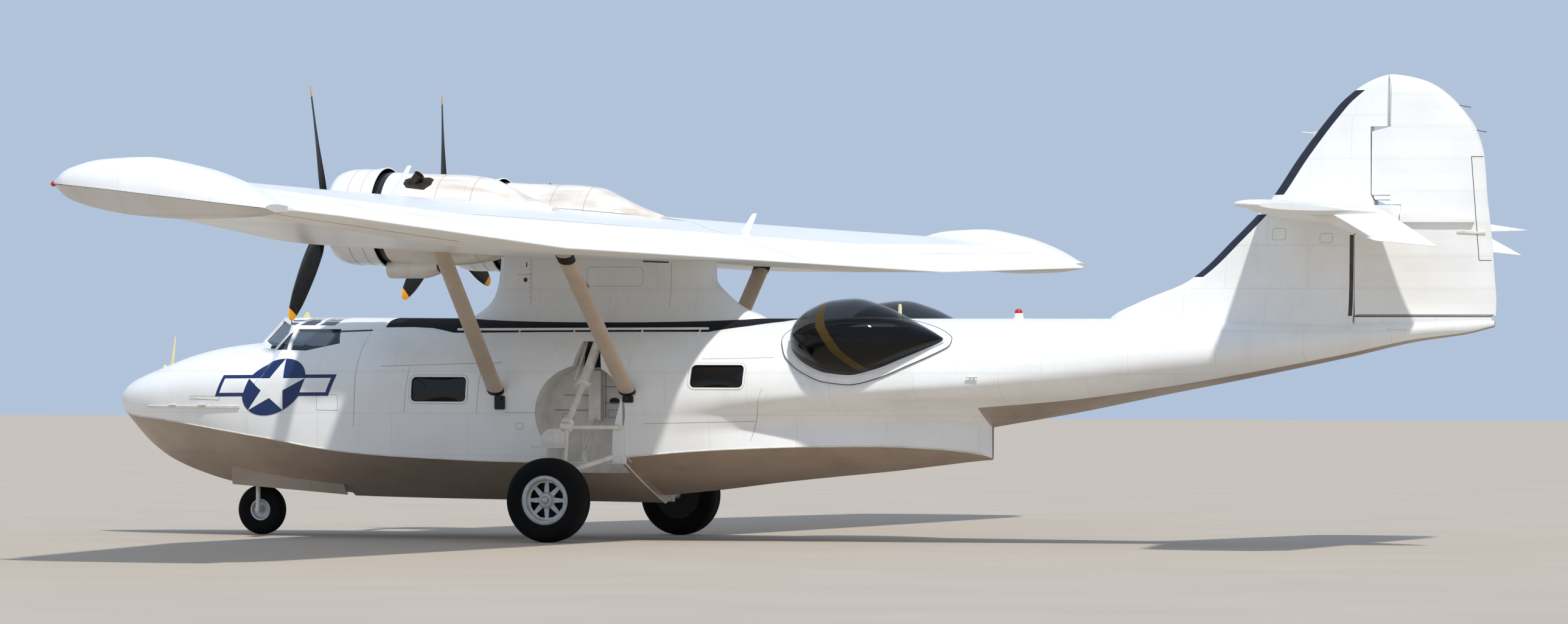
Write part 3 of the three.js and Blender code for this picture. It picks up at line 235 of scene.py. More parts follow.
def enamel(name, clean, worn, grime, axes=("X", "Z"), roughness=0.33,
           sheet=(SHEET_LENGTH, SHEET_HEIGHT), soot=None):
    """Aged gloss enamel. soot is the place along the aircraft, in metres, where exhaust stains begin."""
    material, tree, shader = finish(name, roughness, Coat_Weight=0.25, Coat_Roughness=0.12)
    place = add(tree, "TexCoord").outputs["Object"]
    parts = add(tree, "SeparateXYZ", {0: place})
    along, up = [parts.outputs[axis] for axis in axes]
    patch = add(tree, "TexNoise", {"Vector": place, "Scale": 0.9, "Detail": 5, "Roughness": 0.6})
    run = add(tree, "Mapping", {"Vector": place, "Scale": (2.6, 2.6, 0.35)})
    streak = add(tree, "TexNoise", {"Vector": run.outputs[0], "Scale": 2.2, "Detail": 6, "Roughness": 0.65})
    seam = sheet_seams(tree, along, up, *sheet)
    rivet = rivet_rows(tree, along, up, sheet[1])
    tone = mix(tree, ramp(tree, patch.outputs["Fac"], 0.42, 0.72), linear(clean), linear(worn))
    dirty = maths(tree, "MULTIPLY", ramp(tree, streak.outputs["Fac"], 0.5, 0.8), 0.09)
    tone = mix(tree, dirty, tone, linear(grime))
    tone = mix(tree, maths(tree, "MULTIPLY", seam, 0.22), tone, linear(grime))
    tone = mix(tree, maths(tree, "MULTIPLY", rivet, 0.16), tone, linear(grime))
    if soot is not None:
        drawn = add(tree, "Mapping", {"Vector": place, "Scale": (0.5, 4, 4)})
        trail = add(tree, "TexNoise", {"Vector": drawn.outputs[0], "Scale": 1.5, "Detail": 6})
        behind = ramp(tree, parts.outputs["X"], soot, soot + 0.3)
        amount = maths(tree, "MULTIPLY", ramp(tree, trail.outputs["Fac"], 0.4, 0.72), behind)
        tone = mix(tree, maths(tree, "MULTIPLY", amount, 0.55), tone, linear("#a68a6c"))
    tree.links.new(tone, shader.inputs["Base Color"])
    relief = maths(tree, "SUBTRACT", maths(tree, "MULTIPLY", rivet, 0.25), seam)
    ripple = add(tree, "TexNoise", {"Vector": place, "Scale": 1.7, "Detail": 1})
    relief = maths(tree, "ADD", relief, maths(tree, "MULTIPLY", ripple.outputs["Fac"], 2.2))
    bump = add(tree, "Bump", {"Height": relief, "Distance": 0.002, "Strength": 0.4})
    tree.links.new(bump.outputs[0], shader.inputs["Normal"])
    gloss = maths(tree, "MULTIPLY_ADD", patch.outputs["Fac"], 0.22, roughness - 0.1)
    tree.links.new(gloss, shader.inputs["Roughness"])
    return material


WHITE = enamel("aged gloss white enamel", "#f4f4f2", "#ecebe7", "#a49c8e")
# The planing bottom's taupe is painted shade and a painted reflection of the ground on enamel that is really
# white. Its streaks and darker joints are dirt.
BOTTOM_PAINTED_SHADE = enamel("planing bottom, enamel with painted_shade_and_scum", "#a89889", "#958475", "#5e534a", roughness=0.45)
# Where the exhaust stub stands, in metres along the aircraft
STUB_PLACE = -4.3
# The nacelle's warm beige tone is painted shade. The brown trails behind the exhaust stub are soot.
NACELLE_PAINTED_SHADE_AND_SOOT = enamel("nacelle enamel, heat stained", "#f0ebe4", "#e2d8cb", "#94836e",
                       sheet=(0.9, 0.5), soot=STUB_PLACE)
WING_WHITE = enamel("wing enamel", "#f4f4f2", "#ebeae5", "#a1988a", axes=("Y", "X"), sheet=(1.6, 0.78))
print("enamels made")

# %% [markdown]
# Control surfaces and the wing behind the rear spar are ribs with doped fabric pulled over them. The
# fabric sags a few millimetres between ribs, and a tape is doped over each rib, so the relief is a row of
# soft hollows with a flat band at each rib, and the sheen is duller than the enamel's.

# %% Doped fabric
RIB_PITCH = 0.38
TAPE_EDGE = (0.03, 0.022)


def doped_fabric(name, clean, worn, axis="Y", pitch=RIB_PITCH):
    material, tree, shader = finish(name, 0.55)
    place = add(tree, "TexCoord").outputs["Object"]
    along = add(tree, "SeparateXYZ", {0: place}).outputs[axis]
    hollow = maths(tree, "PINGPONG", along, pitch / 2)
    tape = ramp(tree, hollow, *TAPE_EDGE)
    patch = add(tree, "TexNoise", {"Vector": place, "Scale": 1.4, "Detail": 5})
    weave = add(tree, "TexNoise", {"Vector": place, "Scale": 60, "Detail": 2})
    tone = mix(tree, ramp(tree, patch.outputs["Fac"], 0.4, 0.75), linear(clean), linear(worn))
    tone = mix(tree, maths(tree, "MULTIPLY", tape, 0.07), tone, linear("#bdb6a8"))
    tree.links.new(tone, shader.inputs["Base Color"])
    sag = ramp(tree, hollow, pitch / 2, 0)
    depth = maths(tree, "MULTIPLY", sag, 1.4)
    relief = maths(tree, "ADD", depth, maths(tree, "MULTIPLY", weave.outputs["Fac"], 0.05))
    bump = add(tree, "Bump", {"Height": relief, "Distance": 0.006, "Strength": 0.6})
    tree.links.new(bump.outputs[0], shader.inputs["Normal"])
    return material


FABRIC = doped_fabric("doped fabric, wing", "#f3f2ee", "#eae8e2")
FABRIC_UPRIGHT = doped_fabric("doped fabric, rudder", "#f3f2ee", "#ebe9e4", axis="Z", pitch=0.42)
print("fabrics made")

# %% [markdown]
# Most of the smaller parts are one paint or metal with a slight mottle, scratches that dull it, and a
# little relief. One helper makes those, so that each keeps to its own colour, gloss and grain.

# %% Plain finishes
def mottled(name, light, dark, roughness=0.5, metallic=0.0, grain=6, depth=0.002, **extra):
    material, tree, shader = finish(name, roughness, metallic, **extra)
    place = add(tree, "TexCoord").outputs["Object"]
    noise = add(tree, "TexNoise", {"Vector": place, "Scale": grain, "Detail": 6, "Roughness": 0.6})
    tone = mix(tree, ramp(tree, noise.outputs["Fac"], 0.35, 0.7), linear(light), linear(dark))
    tree.links.new(tone, shader.inputs["Base Color"])
    dull = maths(tree, "MULTIPLY_ADD", noise.outputs["Fac"], 0.2, roughness - 0.1)
    tree.links.new(dull, shader.inputs["Roughness"])
    bump = add(tree, "Bump", {"Height": noise.outputs["Fac"], "Distance": depth, "Strength": 0.3})
    tree.links.new(bump.outputs[0], shader.inputs["Normal"])
    return material


GEAR_WHITE = mottled("gear enamel, oily", "#e9e6de", "#cfc9bc", 0.4)
STRUT_BEIGE = mottled("strut enamel, beige", "#cbb9a8", "#bcaa98", 0.42, grain=3)
WELL_PAINT = mottled("wheel well paint", "#eeece8", "#dad6cf", 0.6, grain=5)
# The cabin's green paint is taken almost to black: painted shade of the unlit cabin, cockpit, seats and
# waist.
INSIDE_PAINTED_SHADE = mottled("cabin paint, grey green", "#2b2e28", "#20221e", 0.7)
BLACK = mottled("semi-gloss black", "#24262b", "#17181b", 0.35, grain=4)
BLADE_BLACK = mottled("matt blade black", "#111215", "#1b1c1f", 0.5, grain=9, Specular_IOR_Level=0.3)
DECK_BLACK = mottled("non-slip deck paint", "#15171d", "#0e1015", 0.85, grain=40, Specular_IOR_Level=0.2)
ROOF_GLASS = mottled("tinted roof pane", "#262b4a", "#191d33", 0.15, grain=2)
YELLOW = mottled("tip yellow", "#eda61c", "#dc9414", 0.45)
HOOP_YELLOW = mottled("hoop enamel, yellow", "#ffd23c", "#f0bc28", 0.5)
DARK_METAL = mottled("burnt steel", "#4d4138", "#2b2420", 0.55, 0.7, grain=14)
STEEL = mottled("engine alloy", "#8d8b86", "#6e6b66", 0.45, 0.85, grain=12)
ALLOY = mottled("cast wheel alloy, painted", "#cdcfd1", "#b4b6b8", 0.4, 0.3, grain=10)
RUBBER = mottled("tyre rubber", "#09090a", "#131314", 0.85, grain=16, depth=0.004, Specular_IOR_Level=0.2)


def glazing(name, tint, worn, cover, roughness=0.03):
    """Tinted sheet. It covers that share of what is behind it, and the rest shows through."""
    material, tree, shader = finish(name, roughness, Alpha=cover, IOR=1.49)
    place = add(tree, "TexCoord").outputs["Object"]
    noise = add(tree, "TexNoise", {"Vector": place, "Scale": 3, "Detail": 3})
    tone = mix(tree, maths(tree, "MULTIPLY", noise.outputs["Fac"], 0.2), linear(tint), linear(worn))
    tree.links.new(tone, shader.inputs["Base Color"])
    return material


# The blister's black tint is painted shade of the unlit waist behind the clear acrylic.
BLISTER_GLASS_PAINTED_SHADE = glazing("blown acrylic, painted_shade_tint", "#030405", "#08090b", 0.5)
# Almost opaque black glass: painted shade of the unlit room behind the window.
WINDOW_GLASS_PAINTED_SHADE = glazing("cabin window, dark behind", "#050607", "#0c0d10", 0.95)
CLEAR_GLASS = glazing("cockpit acrylic", "#465665", "#56636f", 0.4)
SEAM = mottled("gap and joint shadow", "#4b4844", "#34322f", 0.7)
SOFT_SEAM = mottled("filled joint", "#b9b5ae", "#a29e97", 0.6)
NAVY = mottled("insignia blue", "#0d285c", "#132f62", 0.4, grain=3)
MARK_WHITE = mottled("insignia white", "#f6f6f5", "#ecebe8", 0.4, grain=3)
BOOT = mottled("leading edge boot rubber", "#1c2233", "#262b3a", 0.6)
RED = mottled("lamp red", "#d2301f", "#a81e14", 0.25)
CREAM = mottled("aerial fibre, cream", "#e9dcae", "#d8c893", 0.45)
DRUM = mottled("brake drum black", "#101114", "#1b1b1c", 0.6)

print("finishes", len(bpy.data.materials))

# %% [markdown]
# Most pieces are lofts: a sheet of squares whose lines across are rings. The sheet comes from the grid
# operator, each of its points is moved to its place on the lines plan, the seam is merged and the ends are
# filled. The curve through a table's rows must not overshoot, or a hull would swell between stations, so
# its slope at a row is the harmonic mean of the slopes on each side.

# %% Fair curves and lofts
# Points nearer to each other than this are one point
MERGE = 0.02


def slope(rows, i, column):
    def beyond(k):
        return (rows[k + 1][column] - rows[k][column]) / (rows[k + 1][0] - rows[k][0])

    if i == 0:
        return beyond(0)
    if i == len(rows) - 1:
        return beyond(i - 1)
    before, after = beyond(i - 1), beyond(i)
    return 0 if before * after <= 0 else 2 * before * after / (before + after)


def fair(rows, x):
    """The table's other columns at x, on smooth curves through its rows."""
    x = min(max(x, rows[0][0]), rows[-1][0])
    i = max(k for k in range(len(rows) - 1) if rows[k][0] <= x)
    span = rows[i + 1][0] - rows[i][0]
    t = (x - rows[i][0]) / span
    values = []
    for column in range(1, len(rows[i])):
        start, end = rows[i][column], rows[i + 1][column]
        leave, arrive = slope(rows, i, column) * span, slope(rows, i + 1, column) * span
        values.append(start * (2 * t**3 - 3 * t**2 + 1) + leave * (t**3 - 2 * t**2 + t)
                      + end * (3 * t**2 - 2 * t**3) + arrive * (t**3 - t**2))
    return values


def spaced(start, end, count):
    return [start + (end - start) * i / count for i in range(count + 1)]


def turns(sides):
    """The angles of a circle's even steps."""
    return spaced(0, 2 * math.pi, sides)[:-1]


def lofted(rings, bands=None, closed=True):
    """Closed body through rings of points. bands gives the material slot of each step round the ring."""
    count = len(rings[0])
    across = count if closed else count - 1
    bm = bmesh.new()
    bmesh.ops.create_grid(bm, x_segments=len(rings) - 1, y_segments=across, size=0.5)
    at = {v: (round((v.co.x + 0.5) * (len(rings) - 1)), round((v.co.y + 0.5) * across)) for v in bm.verts}
    for face in bm.faces:
        face.material_index = bands[min(at[v][1] for v in face.verts)] if bands else 0
    for v, (i, j) in at.items():
        v.co = rings[i][j % count]
    bmesh.ops.remove_doubles(bm, verts=bm.verts, dist=MERGE)
    bmesh.ops.holes_fill(bm, edges=[e for e in bm.edges if e.is_boundary], sides=0)
    bmesh.ops.recalc_face_normals(bm, faces=bm.faces)
    return bm


def prism(outline, low, high, axis="y"):
    """Solid with that outline, which lies across the axis, from low to high."""
    orders = {"x": lambda a, b, w: (w, a, b), "y": lambda a, b, w: (a, w, b), "z": lambda a, b, w: (a, b, w)}
    order = orders[axis]
    bm = bmesh.new()
    corners = [bm.verts.new(order(a, b, low)) for a, b in outline]
    face = bm.faces.new(corners)
    grown = bmesh.ops.extrude_face_region(bm, geom=[face])["geom"]
    push = Vector(order(0, 0, high - low))
    bmesh.ops.translate(bm, verts=[g for g in grown if isinstance(g, bmesh.types.BMVert)], vec=push)
    bmesh.ops.recalc_face_normals(bm, faces=bm.faces)
    return bm


def rectangle(low, high):
    return [(low[0], low[1]), (high[0], low[1]), (high[0], high[1]), (low[0], high[1])]


def block(low, high):
    return prism(rectangle(low, high), low[2], high[2], "z")


def rod(start, end, radius, sides=24, end_radius=None):
    start, end = Vector(start), Vector(end)
    bm = bmesh.new()
    sizes = {"radius1": radius, "radius2": radius if end_radius is None else end_radius}
    bmesh.ops.create_cone(bm, cap_ends=True, segments=sides, depth=(end - start).length, **sizes)
    turn = (end - start).to_track_quat("Z", "Y").to_matrix().to_4x4()
    bmesh.ops.transform(bm, matrix=Matrix.Translation((start + end) / 2) @ turn, verts=bm.verts)
    return bm


def spun(outline, centre, axis, steps=72):
    """Ring or disc turned from a [radius, along] outline, which closes on its first point."""
    outline = list(outline) + list(outline[:1])
    ways = {"x": (Vector((1, 0, 0)), Vector((0, 0, 1))), "y": (Vector((0, 1, 0)), Vector((0, 0, 1))),
            "z": (Vector((0, 0, 1)), Vector((1, 0, 0)))}
    along, out = ways[axis]
    centre = Vector(centre)
    bm = bmesh.new()
    points = [bm.verts.new(centre + out * radius + along * place) for radius, place in outline]
    lines = [bm.edges.new((points[i - 1], points[i])) for i in range(1, len(points))]
    bmesh.ops.spin(bm, geom=points + lines, cent=centre, axis=along, angle=2 * math.pi, steps=steps,
                   use_merge=True)
    bmesh.ops.remove_doubles(bm, verts=bm.verts, dist=MERGE)
    bmesh.ops.recalc_face_normals(bm, faces=bm.faces)
    return bm


print("loft helpers ready")

# %% [markdown]
# Wheel wells, windows and hinge coves are cut with the Boolean modifier, and the result is kept as the
# mesh. The cutter carries its own finish, so a well's walls come out in well paint.

# %% Cutting and finishing helpers
def work(bm, *materials):
    """A solid to work on, in stations and millimetres."""
    mesh = bpy.data.meshes.new("work")
    bm.to_mesh(mesh)
    bm.free()
    for material in materials:
        mesh.materials.append(material)
    obj = bpy.data.objects.new("work", mesh)
    scene.collection.objects.link(obj)
    return obj


def combine(solid, operation, tools):
    for tool in tools:
        step = solid.modifiers.new("step", "BOOLEAN")
        step.object = tool
        step.operation = operation
        step.solver = "MANIFOLD"
        step.material_mode = "TRANSFER"
    seen = solid.evaluated_get(bpy.context.evaluated_depsgraph_get())
    mesh = bpy.data.meshes.new_from_object(seen)
    solid.modifiers.clear()
    solid.data = mesh
    for tool in tools:
        bpy.data.objects.remove(tool)
    return solid


def cut(solid, *tools):
    return combine(solid, "DIFFERENCE", tools)


def keep(solid, *tools):
    """Only what lies inside each tool."""
    return combine(solid, "INTERSECT", tools)


def join(solid, *tools):
    return combine(solid, "UNION", tools)


def twin(solid):
    copy = solid.copy()
    copy.data = solid.data.copy()
    scene.collection.objects.link(copy)
    return copy


def piece(name, shape, body="airframe", replaces=(), crease=32, materials=(), bevel=0):
    """Names a finished shape, takes it to the frame, shades it and ties it to its body."""
    obj = shape if isinstance(shape, bpy.types.Object) else work(shape, *materials)
    obj.name = name
    obj.data.name = name
    bm = bmesh.new()
    bm.from_mesh(obj.data)
    bmesh.ops.transform(bm, matrix=TO_FRAME, verts=bm.verts)
    bmesh.ops.remove_doubles(bm, verts=bm.verts, dist=0.00002)
    for edge in bm.edges:
        edge.smooth = edge.is_boundary or edge.calc_face_angle(0) < math.radians(crease)
    for face in bm.faces:
        face.smooth = True
    bm.to_mesh(obj.data)
    bm.free()
    if bevel:
        step = obj.modifiers.new("edge", "BEVEL")
        step.width = bevel / 1000
        step.segments = 2
        step.limit_method = "ANGLE"
        step.harden_normals = True
    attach(obj, body)
    if replaces:
        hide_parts(*replaces)
    return obj


def mirrored(bm, side):
    """The starboard shape, or its mirror image on the port side."""
    if side < 0:
        bmesh.ops.scale(bm, vec=(1, -1, 1), verts=bm.verts)
        bmesh.ops.reverse_faces(bm, faces=bm.faces)
    return bm


def from_node(node):
    """A merged copy of a CAD node, back in stations and millimetres."""
    bm = bmesh.new()
    bm.from_mesh(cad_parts[node].data)
    bmesh.ops.transform(bm, matrix=TO_FRAME.inverted(), verts=bm.verts)
    bmesh.ops.remove_doubles(bm, verts=bm.verts, dist=MERGE)
    return bm


print("cutting helpers ready")

# %% [markdown]
# Joints, stripes and marks lie on a surface, so they are made on it. A path or an outline is drawn on a
# flat sheet in front of the surface, and each of its points is sent along a ray until it meets the
# surface. The sheet is a millimetre thick, like tape or paint built up on a joint.

# %% Lines and marks on a surface
# How far back a ray starts, and where a path for a side is drawn, well clear of the surface
FAR_OUT = 4000
BESIDE = 2500
DOWN = Vector((0, 0, -1))


def on_side(path, side):
    """A path of stations and heights, placed in front of that side."""
    return [(x, BESIDE * side, z) for x, z in path]


def inward(side):
    return Vector((0, -side, 0))


def solid_tree(solid):
    bm = bmesh.new()
    bm.from_mesh(solid.data)
    tree = BVHTree.FromBMesh(bm)
    bm.free()
    return tree


def cast(tree, point, toward, lift=0):
    """Where a ray through the point meets the surface, lifted off it. The ray starts far outside."""
    hit, normal, _, _ = tree.ray_cast(Vector(point) - toward * FAR_OUT, toward)
    if hit is None:
        return None
    return hit - normal * lift if normal.dot(toward) > 0 else hit + normal * lift


def laid_face(bm, corners, toward, slot):
    """One face of a mark, its front turned to the outside."""
    face = bm.faces.new(corners)
    face.material_index = slot
    face.normal_update()
    if face.normal.dot(toward) > 0:
        face.normal_flip()


def ribbon(bm, tree, path, width, toward, lift=1.5, step=60, slot=0):
    """Strip along a path, as wide as given, on the surface."""
    toward = Vector(toward).normalized()
    points = []
    for a, b in zip(path, path[1:]):
        a, b = Vector(a), Vector(b)
        count = max(1, round((b - a).length / step))
        points += [a.lerp(b, i / count) for i in range(count)]
    points.append(Vector(path[-1]))
    rows = []
    for i, point in enumerate(points):
        ahead = points[min(i + 1, len(points) - 1)] - points[max(i - 1, 0)]
        across = ahead.cross(toward).normalized() * width / 2
        pair = [cast(tree, point + across * sign, toward, lift) for sign in (-1, 1)]
        rows.append(None if pair[0] is None or pair[1] is None else [bm.verts.new(p) for p in pair])
    for one, two in zip(rows, rows[1:]):
        if one and two and (two[0].co - one[0].co).length < 4 * step:
            laid_face(bm, (one[0], one[1], two[1], two[0]), toward, slot)


def decal(bm, tree, outline, toward, lift=2, slot=0, pitch=60):
    """Flat shape laid on the surface. The outline's points are in front of the surface."""
    toward = Vector(toward).normalized()
    flat = bmesh.new()
    flat.faces.new([flat.verts.new(p) for p in outline])
    flat.normal_update()
    bmesh.ops.triangulate(flat, faces=flat.faces[:], ngon_method="EAR_CLIP")
    for axis in range(3):
        low, high = min(p[axis] for p in outline), max(p[axis] for p in outline)
        normal = Vector([float(k == axis) for k in range(3)])
        for place in spaced(low, high, max(1, round((high - low) / pitch)))[1:-1]:
            everything = flat.verts[:] + flat.edges[:] + flat.faces[:]
            bmesh.ops.bisect_plane(flat, geom=everything, plane_co=normal * place, plane_no=normal,
                                   dist=0.001)
    made = {}
    for v in flat.verts:
        spot = cast(tree, v.co, toward, lift)
        if spot is not None:
            made[v] = bm.verts.new(spot)
    for face in flat.faces:
        if all(v in made for v in face.verts):
            laid_face(bm, [made[v] for v in face.verts], toward, slot)
    flat.free()


def marks(name, bm, *materials, body="airframe", slot="airframe_white", thickness=1):
    """The strips and shapes gathered in bm as one thin piece."""
    loose = [v for v in bm.verts if not v.link_faces]
    bmesh.ops.delete(bm, geom=loose, context="VERTS")
    bmesh.ops.remove_doubles(bm, verts=bm.verts, dist=0.3)
    bm.normal_update()
    outward = {v: v.normal.copy() for v in bm.verts}
    bmesh.ops.extrude_face_region(bm, geom=bm.faces[:])
    for v, normal in outward.items():
        v.co -= normal * thickness
    bmesh.ops.recalc_face_normals(bm, faces=bm.faces)
    return piece(name, bm, body, materials=materials, crease=60)


print("marking helpers ready")

# %% [markdown]
# Small fittings are bars and turned parts. Several of them go into one mesh, each with its own finish.

# %% Bars, groups and placing
def tube(points, radius, sides=12):
    """Round bar along a path."""
    points = [Vector(p) for p in points]
    whole = points[-1] - points[0]
    reference = Vector((1, 0, 0)) if abs(whole.z) > 0.8 * whole.length else Vector((0, 0, 1))
    rings = []
    for i, point in enumerate(points):
        ahead = (points[min(i + 1, len(points) - 1)] - points[max(i - 1, 0)]).normalized()
        across = ahead.cross(reference).normalized()
        above = across.cross(ahead)
        rings.append([point + (across * math.cos(a) + above * math.sin(a)) * radius for a in turns(sides)])
    return lofted(rings)


def looped(points):
    return points + points[:1]


def gathered(shapes, slots=None):
    """Several separate shapes as one mesh. slots gives the material of each."""
    whole = bmesh.new()
    for i, shape in enumerate(shapes):
        if slots:
            for face in shape.faces:
                face.material_index = slots[i]
        mesh = bpy.data.meshes.new("shape")
        shape.to_mesh(mesh)
        shape.free()
        whole.from_mesh(mesh)
        bpy.data.meshes.remove(mesh)
    return whole


def placed(shape, start, toward):
    """A shape drawn along z from the origin, moved to start and turned to point along toward."""
    turn = Vector(toward).to_track_quat("Z", "Y").to_matrix().to_4x4()
    bmesh.ops.transform(shape, matrix=Matrix.Translation(Vector(start)) @ turn, verts=shape.verts)
    return shape


print("helpers ready")

# %% [markdown]
# The hull is a boat: a shallow V bottom with a hard chine, sides that bulge, a rounded deck, a step
# behind the main wheels, a hollowed afterbody that ends in a stern post, and a tail boom above it. It
# could be box-modelled and subdivided, but a lines plan gives the true sections, so the rows are the
# CAD's and the curves between them are fair.

# %% Hull lines
# Columns: station, keel height, chine half breadth, chine height, beam half breadth, beam height, deck
# height, and in the waist the two folds of its side, each as a half breadth and a height
HULL = {
    "fore": [
        [0, 1790, 40, 1810, 60, 1850, 1900],
        [60, 1680, 130, 1740, 170, 1860, 1990],
        [200, 1500, 260, 1660, 340, 1870, 2100],
        [450, 1250, 430, 1620, 540, 1890, 2210],
        [780, 1030, 620, 1595, 740, 1900, 2330],
        [1200, 860, 830, 1550, 920, 1920, 2475],
        [1640, 735, 1000, 1490, 1080, 1930, 2575],
        [2080, 660, 1140, 1430, 1210, 1940, 2630],
        [2430, 620, 1225, 1380, 1290, 1945, 2655],
        [2840, 580, 1310, 1325, 1360, 1950, 2675],
        [3520, 545, 1410, 1215, 1440, 1950, 2985],
        [4200, 530, 1460, 1140, 1490, 1930, 2980],
        [4850, 520, 1485, 1100, 1515, 1920, 2975],
        [6400, 505, 1500, 1045, 1535, 1900, 2970],
        [8060, 490, 1490, 1030, 1525, 1900, 2970],
    ],
    "waist": [
        [8060, 590, 1470, 1120, 1525, 1900, 2970, 1500, 1400, 1520, 1650],
        [8900, 675, 1370, 1195, 1495, 1920, 2970, 1395, 1440, 1450, 1690],
        [9700, 775, 1210, 1240, 1450, 1950, 2970, 1190, 1500, 1290, 1700],
        [10500, 860, 990, 1268, 1385, 1990, 2970, 955, 1500, 1065, 1720],
        [11300, 940, 710, 1275, 1310, 2040, 2970, 665, 1560, 810, 1735],
        [12000, 1025, 410, 1245, 1235, 2090, 2970, 370, 1600, 695, 1765],
        [12500, 1085, 150, 1185, 1180, 2130, 2970, 130, 1560, 650, 1785],
        [12680, 1100, 40, 1125, 1160, 2145, 2970, 46, 1550, 640, 1790],
    ],
    "tail": [
        [12680, 1530, 640, 1790, 1160, 2145, 2970],
        [13850, 1730, 560, 1890, 990, 2290, 2970],
        [15070, 1975, 450, 2055, 790, 2430, 2965],
        [16180, 2190, 340, 2245, 590, 2560, 2960],
        [17490, 2460, 215, 2500, 370, 2700, 2960],
        [18420, 2670, 130, 2700, 210, 2820, 2960],
        [19090, 2770, 80, 2790, 110, 2870, 2960],
        [19440, 2860, 20, 2875, 30, 2905, 2940],
    ],
}
BEAM_ROWS = [[row[0], row[4], row[5]] for row in HULL["fore"] + HULL["waist"][1:] + HULL["tail"][1:]]
DECK_ROWS = [[row[0], row[6]] for row in HULL["fore"] + HULL["waist"][1:] + HULL["tail"][1:]]
BOTTOM_STEPS, SIDE_STEPS, ARCH_STEPS = 6, 16, 22
NOSE_STATIONS = [0, 5, 14, 30, 60, 100, 150, 200, 270, 350, 450]
STATION_PITCH = 95


def deck_height(x):
    return fair(DECK_ROWS, x)[0]


def between_points(start, end, steps):
    """Points from start to end in even steps, start left out."""
    return [tuple(a + (b - a) * t for a, b in zip(start, end)) for t in spaced(0, 1, steps)[1:]]


def arch(x, beam_y, beam_z, deck, steps=ARCH_STEPS):
    """The rounded deck from the beam up to the middle line."""
    points = []
    for angle in spaced(0, math.pi / 2, steps):
        points.append((x, beam_y * abs(math.cos(angle)) ** 0.92, beam_z + (deck - beam_z) * math.sin(angle)))
    points[-1] = (x, 0, deck)
    return points


def hull_half(x, run, wall=0, grow=0):
    """Half section at a station, from the keel up to the middle of the deck. wall draws it in."""
    keel, chine_y, chine_z, _, _, _, *folds = fair(HULL[run], x)
    beam_y, beam_z = fair(BEAM_ROWS, x)
    keel += 1.6 * wall
    chine_y = max(chine_y - 1.6 * wall, 5)
    chine_z += 1.2 * wall
    beam_y += grow - wall
    beam_z += 0.6 * wall
    half = []
    for t in spaced(0, 1, BOTTOM_STEPS):
        half.append((x, chine_y * t, keel + (chine_z - keel) * (0.85 * t + 0.15 * t * t)))
    for fold_y, fold_z in zip(folds[::2], folds[1::2]):
        half += between_points(half[-1], (x, max(fold_y - wall, 6), fold_z + wall), 4)
    start_y, start_z = half[-1][1:]
    left = SIDE_STEPS - 2 * len(folds)
    for t in spaced(0, 1, left)[1:]:
        a, b, c = (1 - t) ** 2, 2 * t * (1 - t), t * t
        bend_z = start_z + 0.45 * (beam_z - start_z)
        half.append((x, a * start_y + (b + c) * beam_y, a * start_z + b * bend_z + c * beam_z))
    return half + arch(x, beam_y, beam_z, deck_height(x) + grow - wall)[1:]


def whole_ring(half):
    return half + [(x, -y, z) for x, y, z in reversed(half[1:-1])]


def run_stations(run):
    rows = HULL[run]
    start, end = rows[0][0], rows[-1][0]
    nose = NOSE_STATIONS if run == "fore" else []
    even = spaced(max(start, nose[-1] if nose else start), end, round((end - start) / STATION_PITCH))
    given = [row[0] for row in rows]
    even = [x for x in even if all(abs(x - station) > 30 for station in given)]
    return sorted(set(nose + even + given))


def hull_body(runs, wall=0, grow=0, fore=None, aft=None):
    """The hull's runs as one solid. fore and aft move an end section on to another station."""
    rings = []
    for run in runs:
        rings += [hull_half(x, run, wall, grow) for x in run_stations(run)]
    if fore is not None:
        rings.insert(0, [(fore, y, z) for _, y, z in rings[0]])
    if aft is not None:
        rings.append([(aft, y, z) for _, y, z in rings[-1]])
    half = BOTTOM_STEPS * [1] + (SIDE_STEPS + ARCH_STEPS) * [0]
    return lofted([whole_ring(ring) for ring in rings], bands=half + half[::-1])


print("hull stations", sum(len(run_stations(run)) for run in HULL))

# %% [markdown]
# The windscreen is two flat halves that meet on the middle line and sweep back. The cockpit behind it is
# the hull's own section raised to the roof line, so it is lofted as a second body that begins behind
# the two planes, and joined to the bow. The boom is joined to the waist in the same way, because its
# bottom starts far above the stern post.

# %% Cockpit house and whole outside
SCREEN = {"x": 2105, "z": 2636, "slope": 0.981, "sweep": 0.796, "normal": 1.61}
HOUSE = {"fore": 1700, "aft": 3560, "roof": 2985, "floor": 1700}


def screen_x(y, z):
    return SCREEN["x"] + SCREEN["sweep"] * abs(y) + SCREEN["slope"] * (z - SCREEN["z"])


def behind_screen(set_back, material):
    """All the room behind the two planes of the windscreen."""
    low, high = 1500, 3400
    rings = []
    for y in (-1700, 0, 1700):
        front = [(screen_x(y, z) + set_back, y, z) for z in (low, high)]
        rings.append(front + [(6000, y, high), (6000, y, low)])
    return work(lofted(rings), material)


def house_body(wall, material):
    rings = []
    for x in spaced(HOUSE["fore"], HOUSE["aft"], 36):
        beam_y, beam_z = fair(BEAM_ROWS, x)
        half = [(x, 0, HOUSE["floor"]), (x, beam_y - wall - 60, HOUSE["floor"])]
        half += arch(x, beam_y - wall - 1, beam_z, HOUSE["roof"] - wall)
        rings.append(whole_ring(half))
    house = work(lofted(rings), material)
    return keep(house, behind_screen(wall * SCREEN["normal"], material))


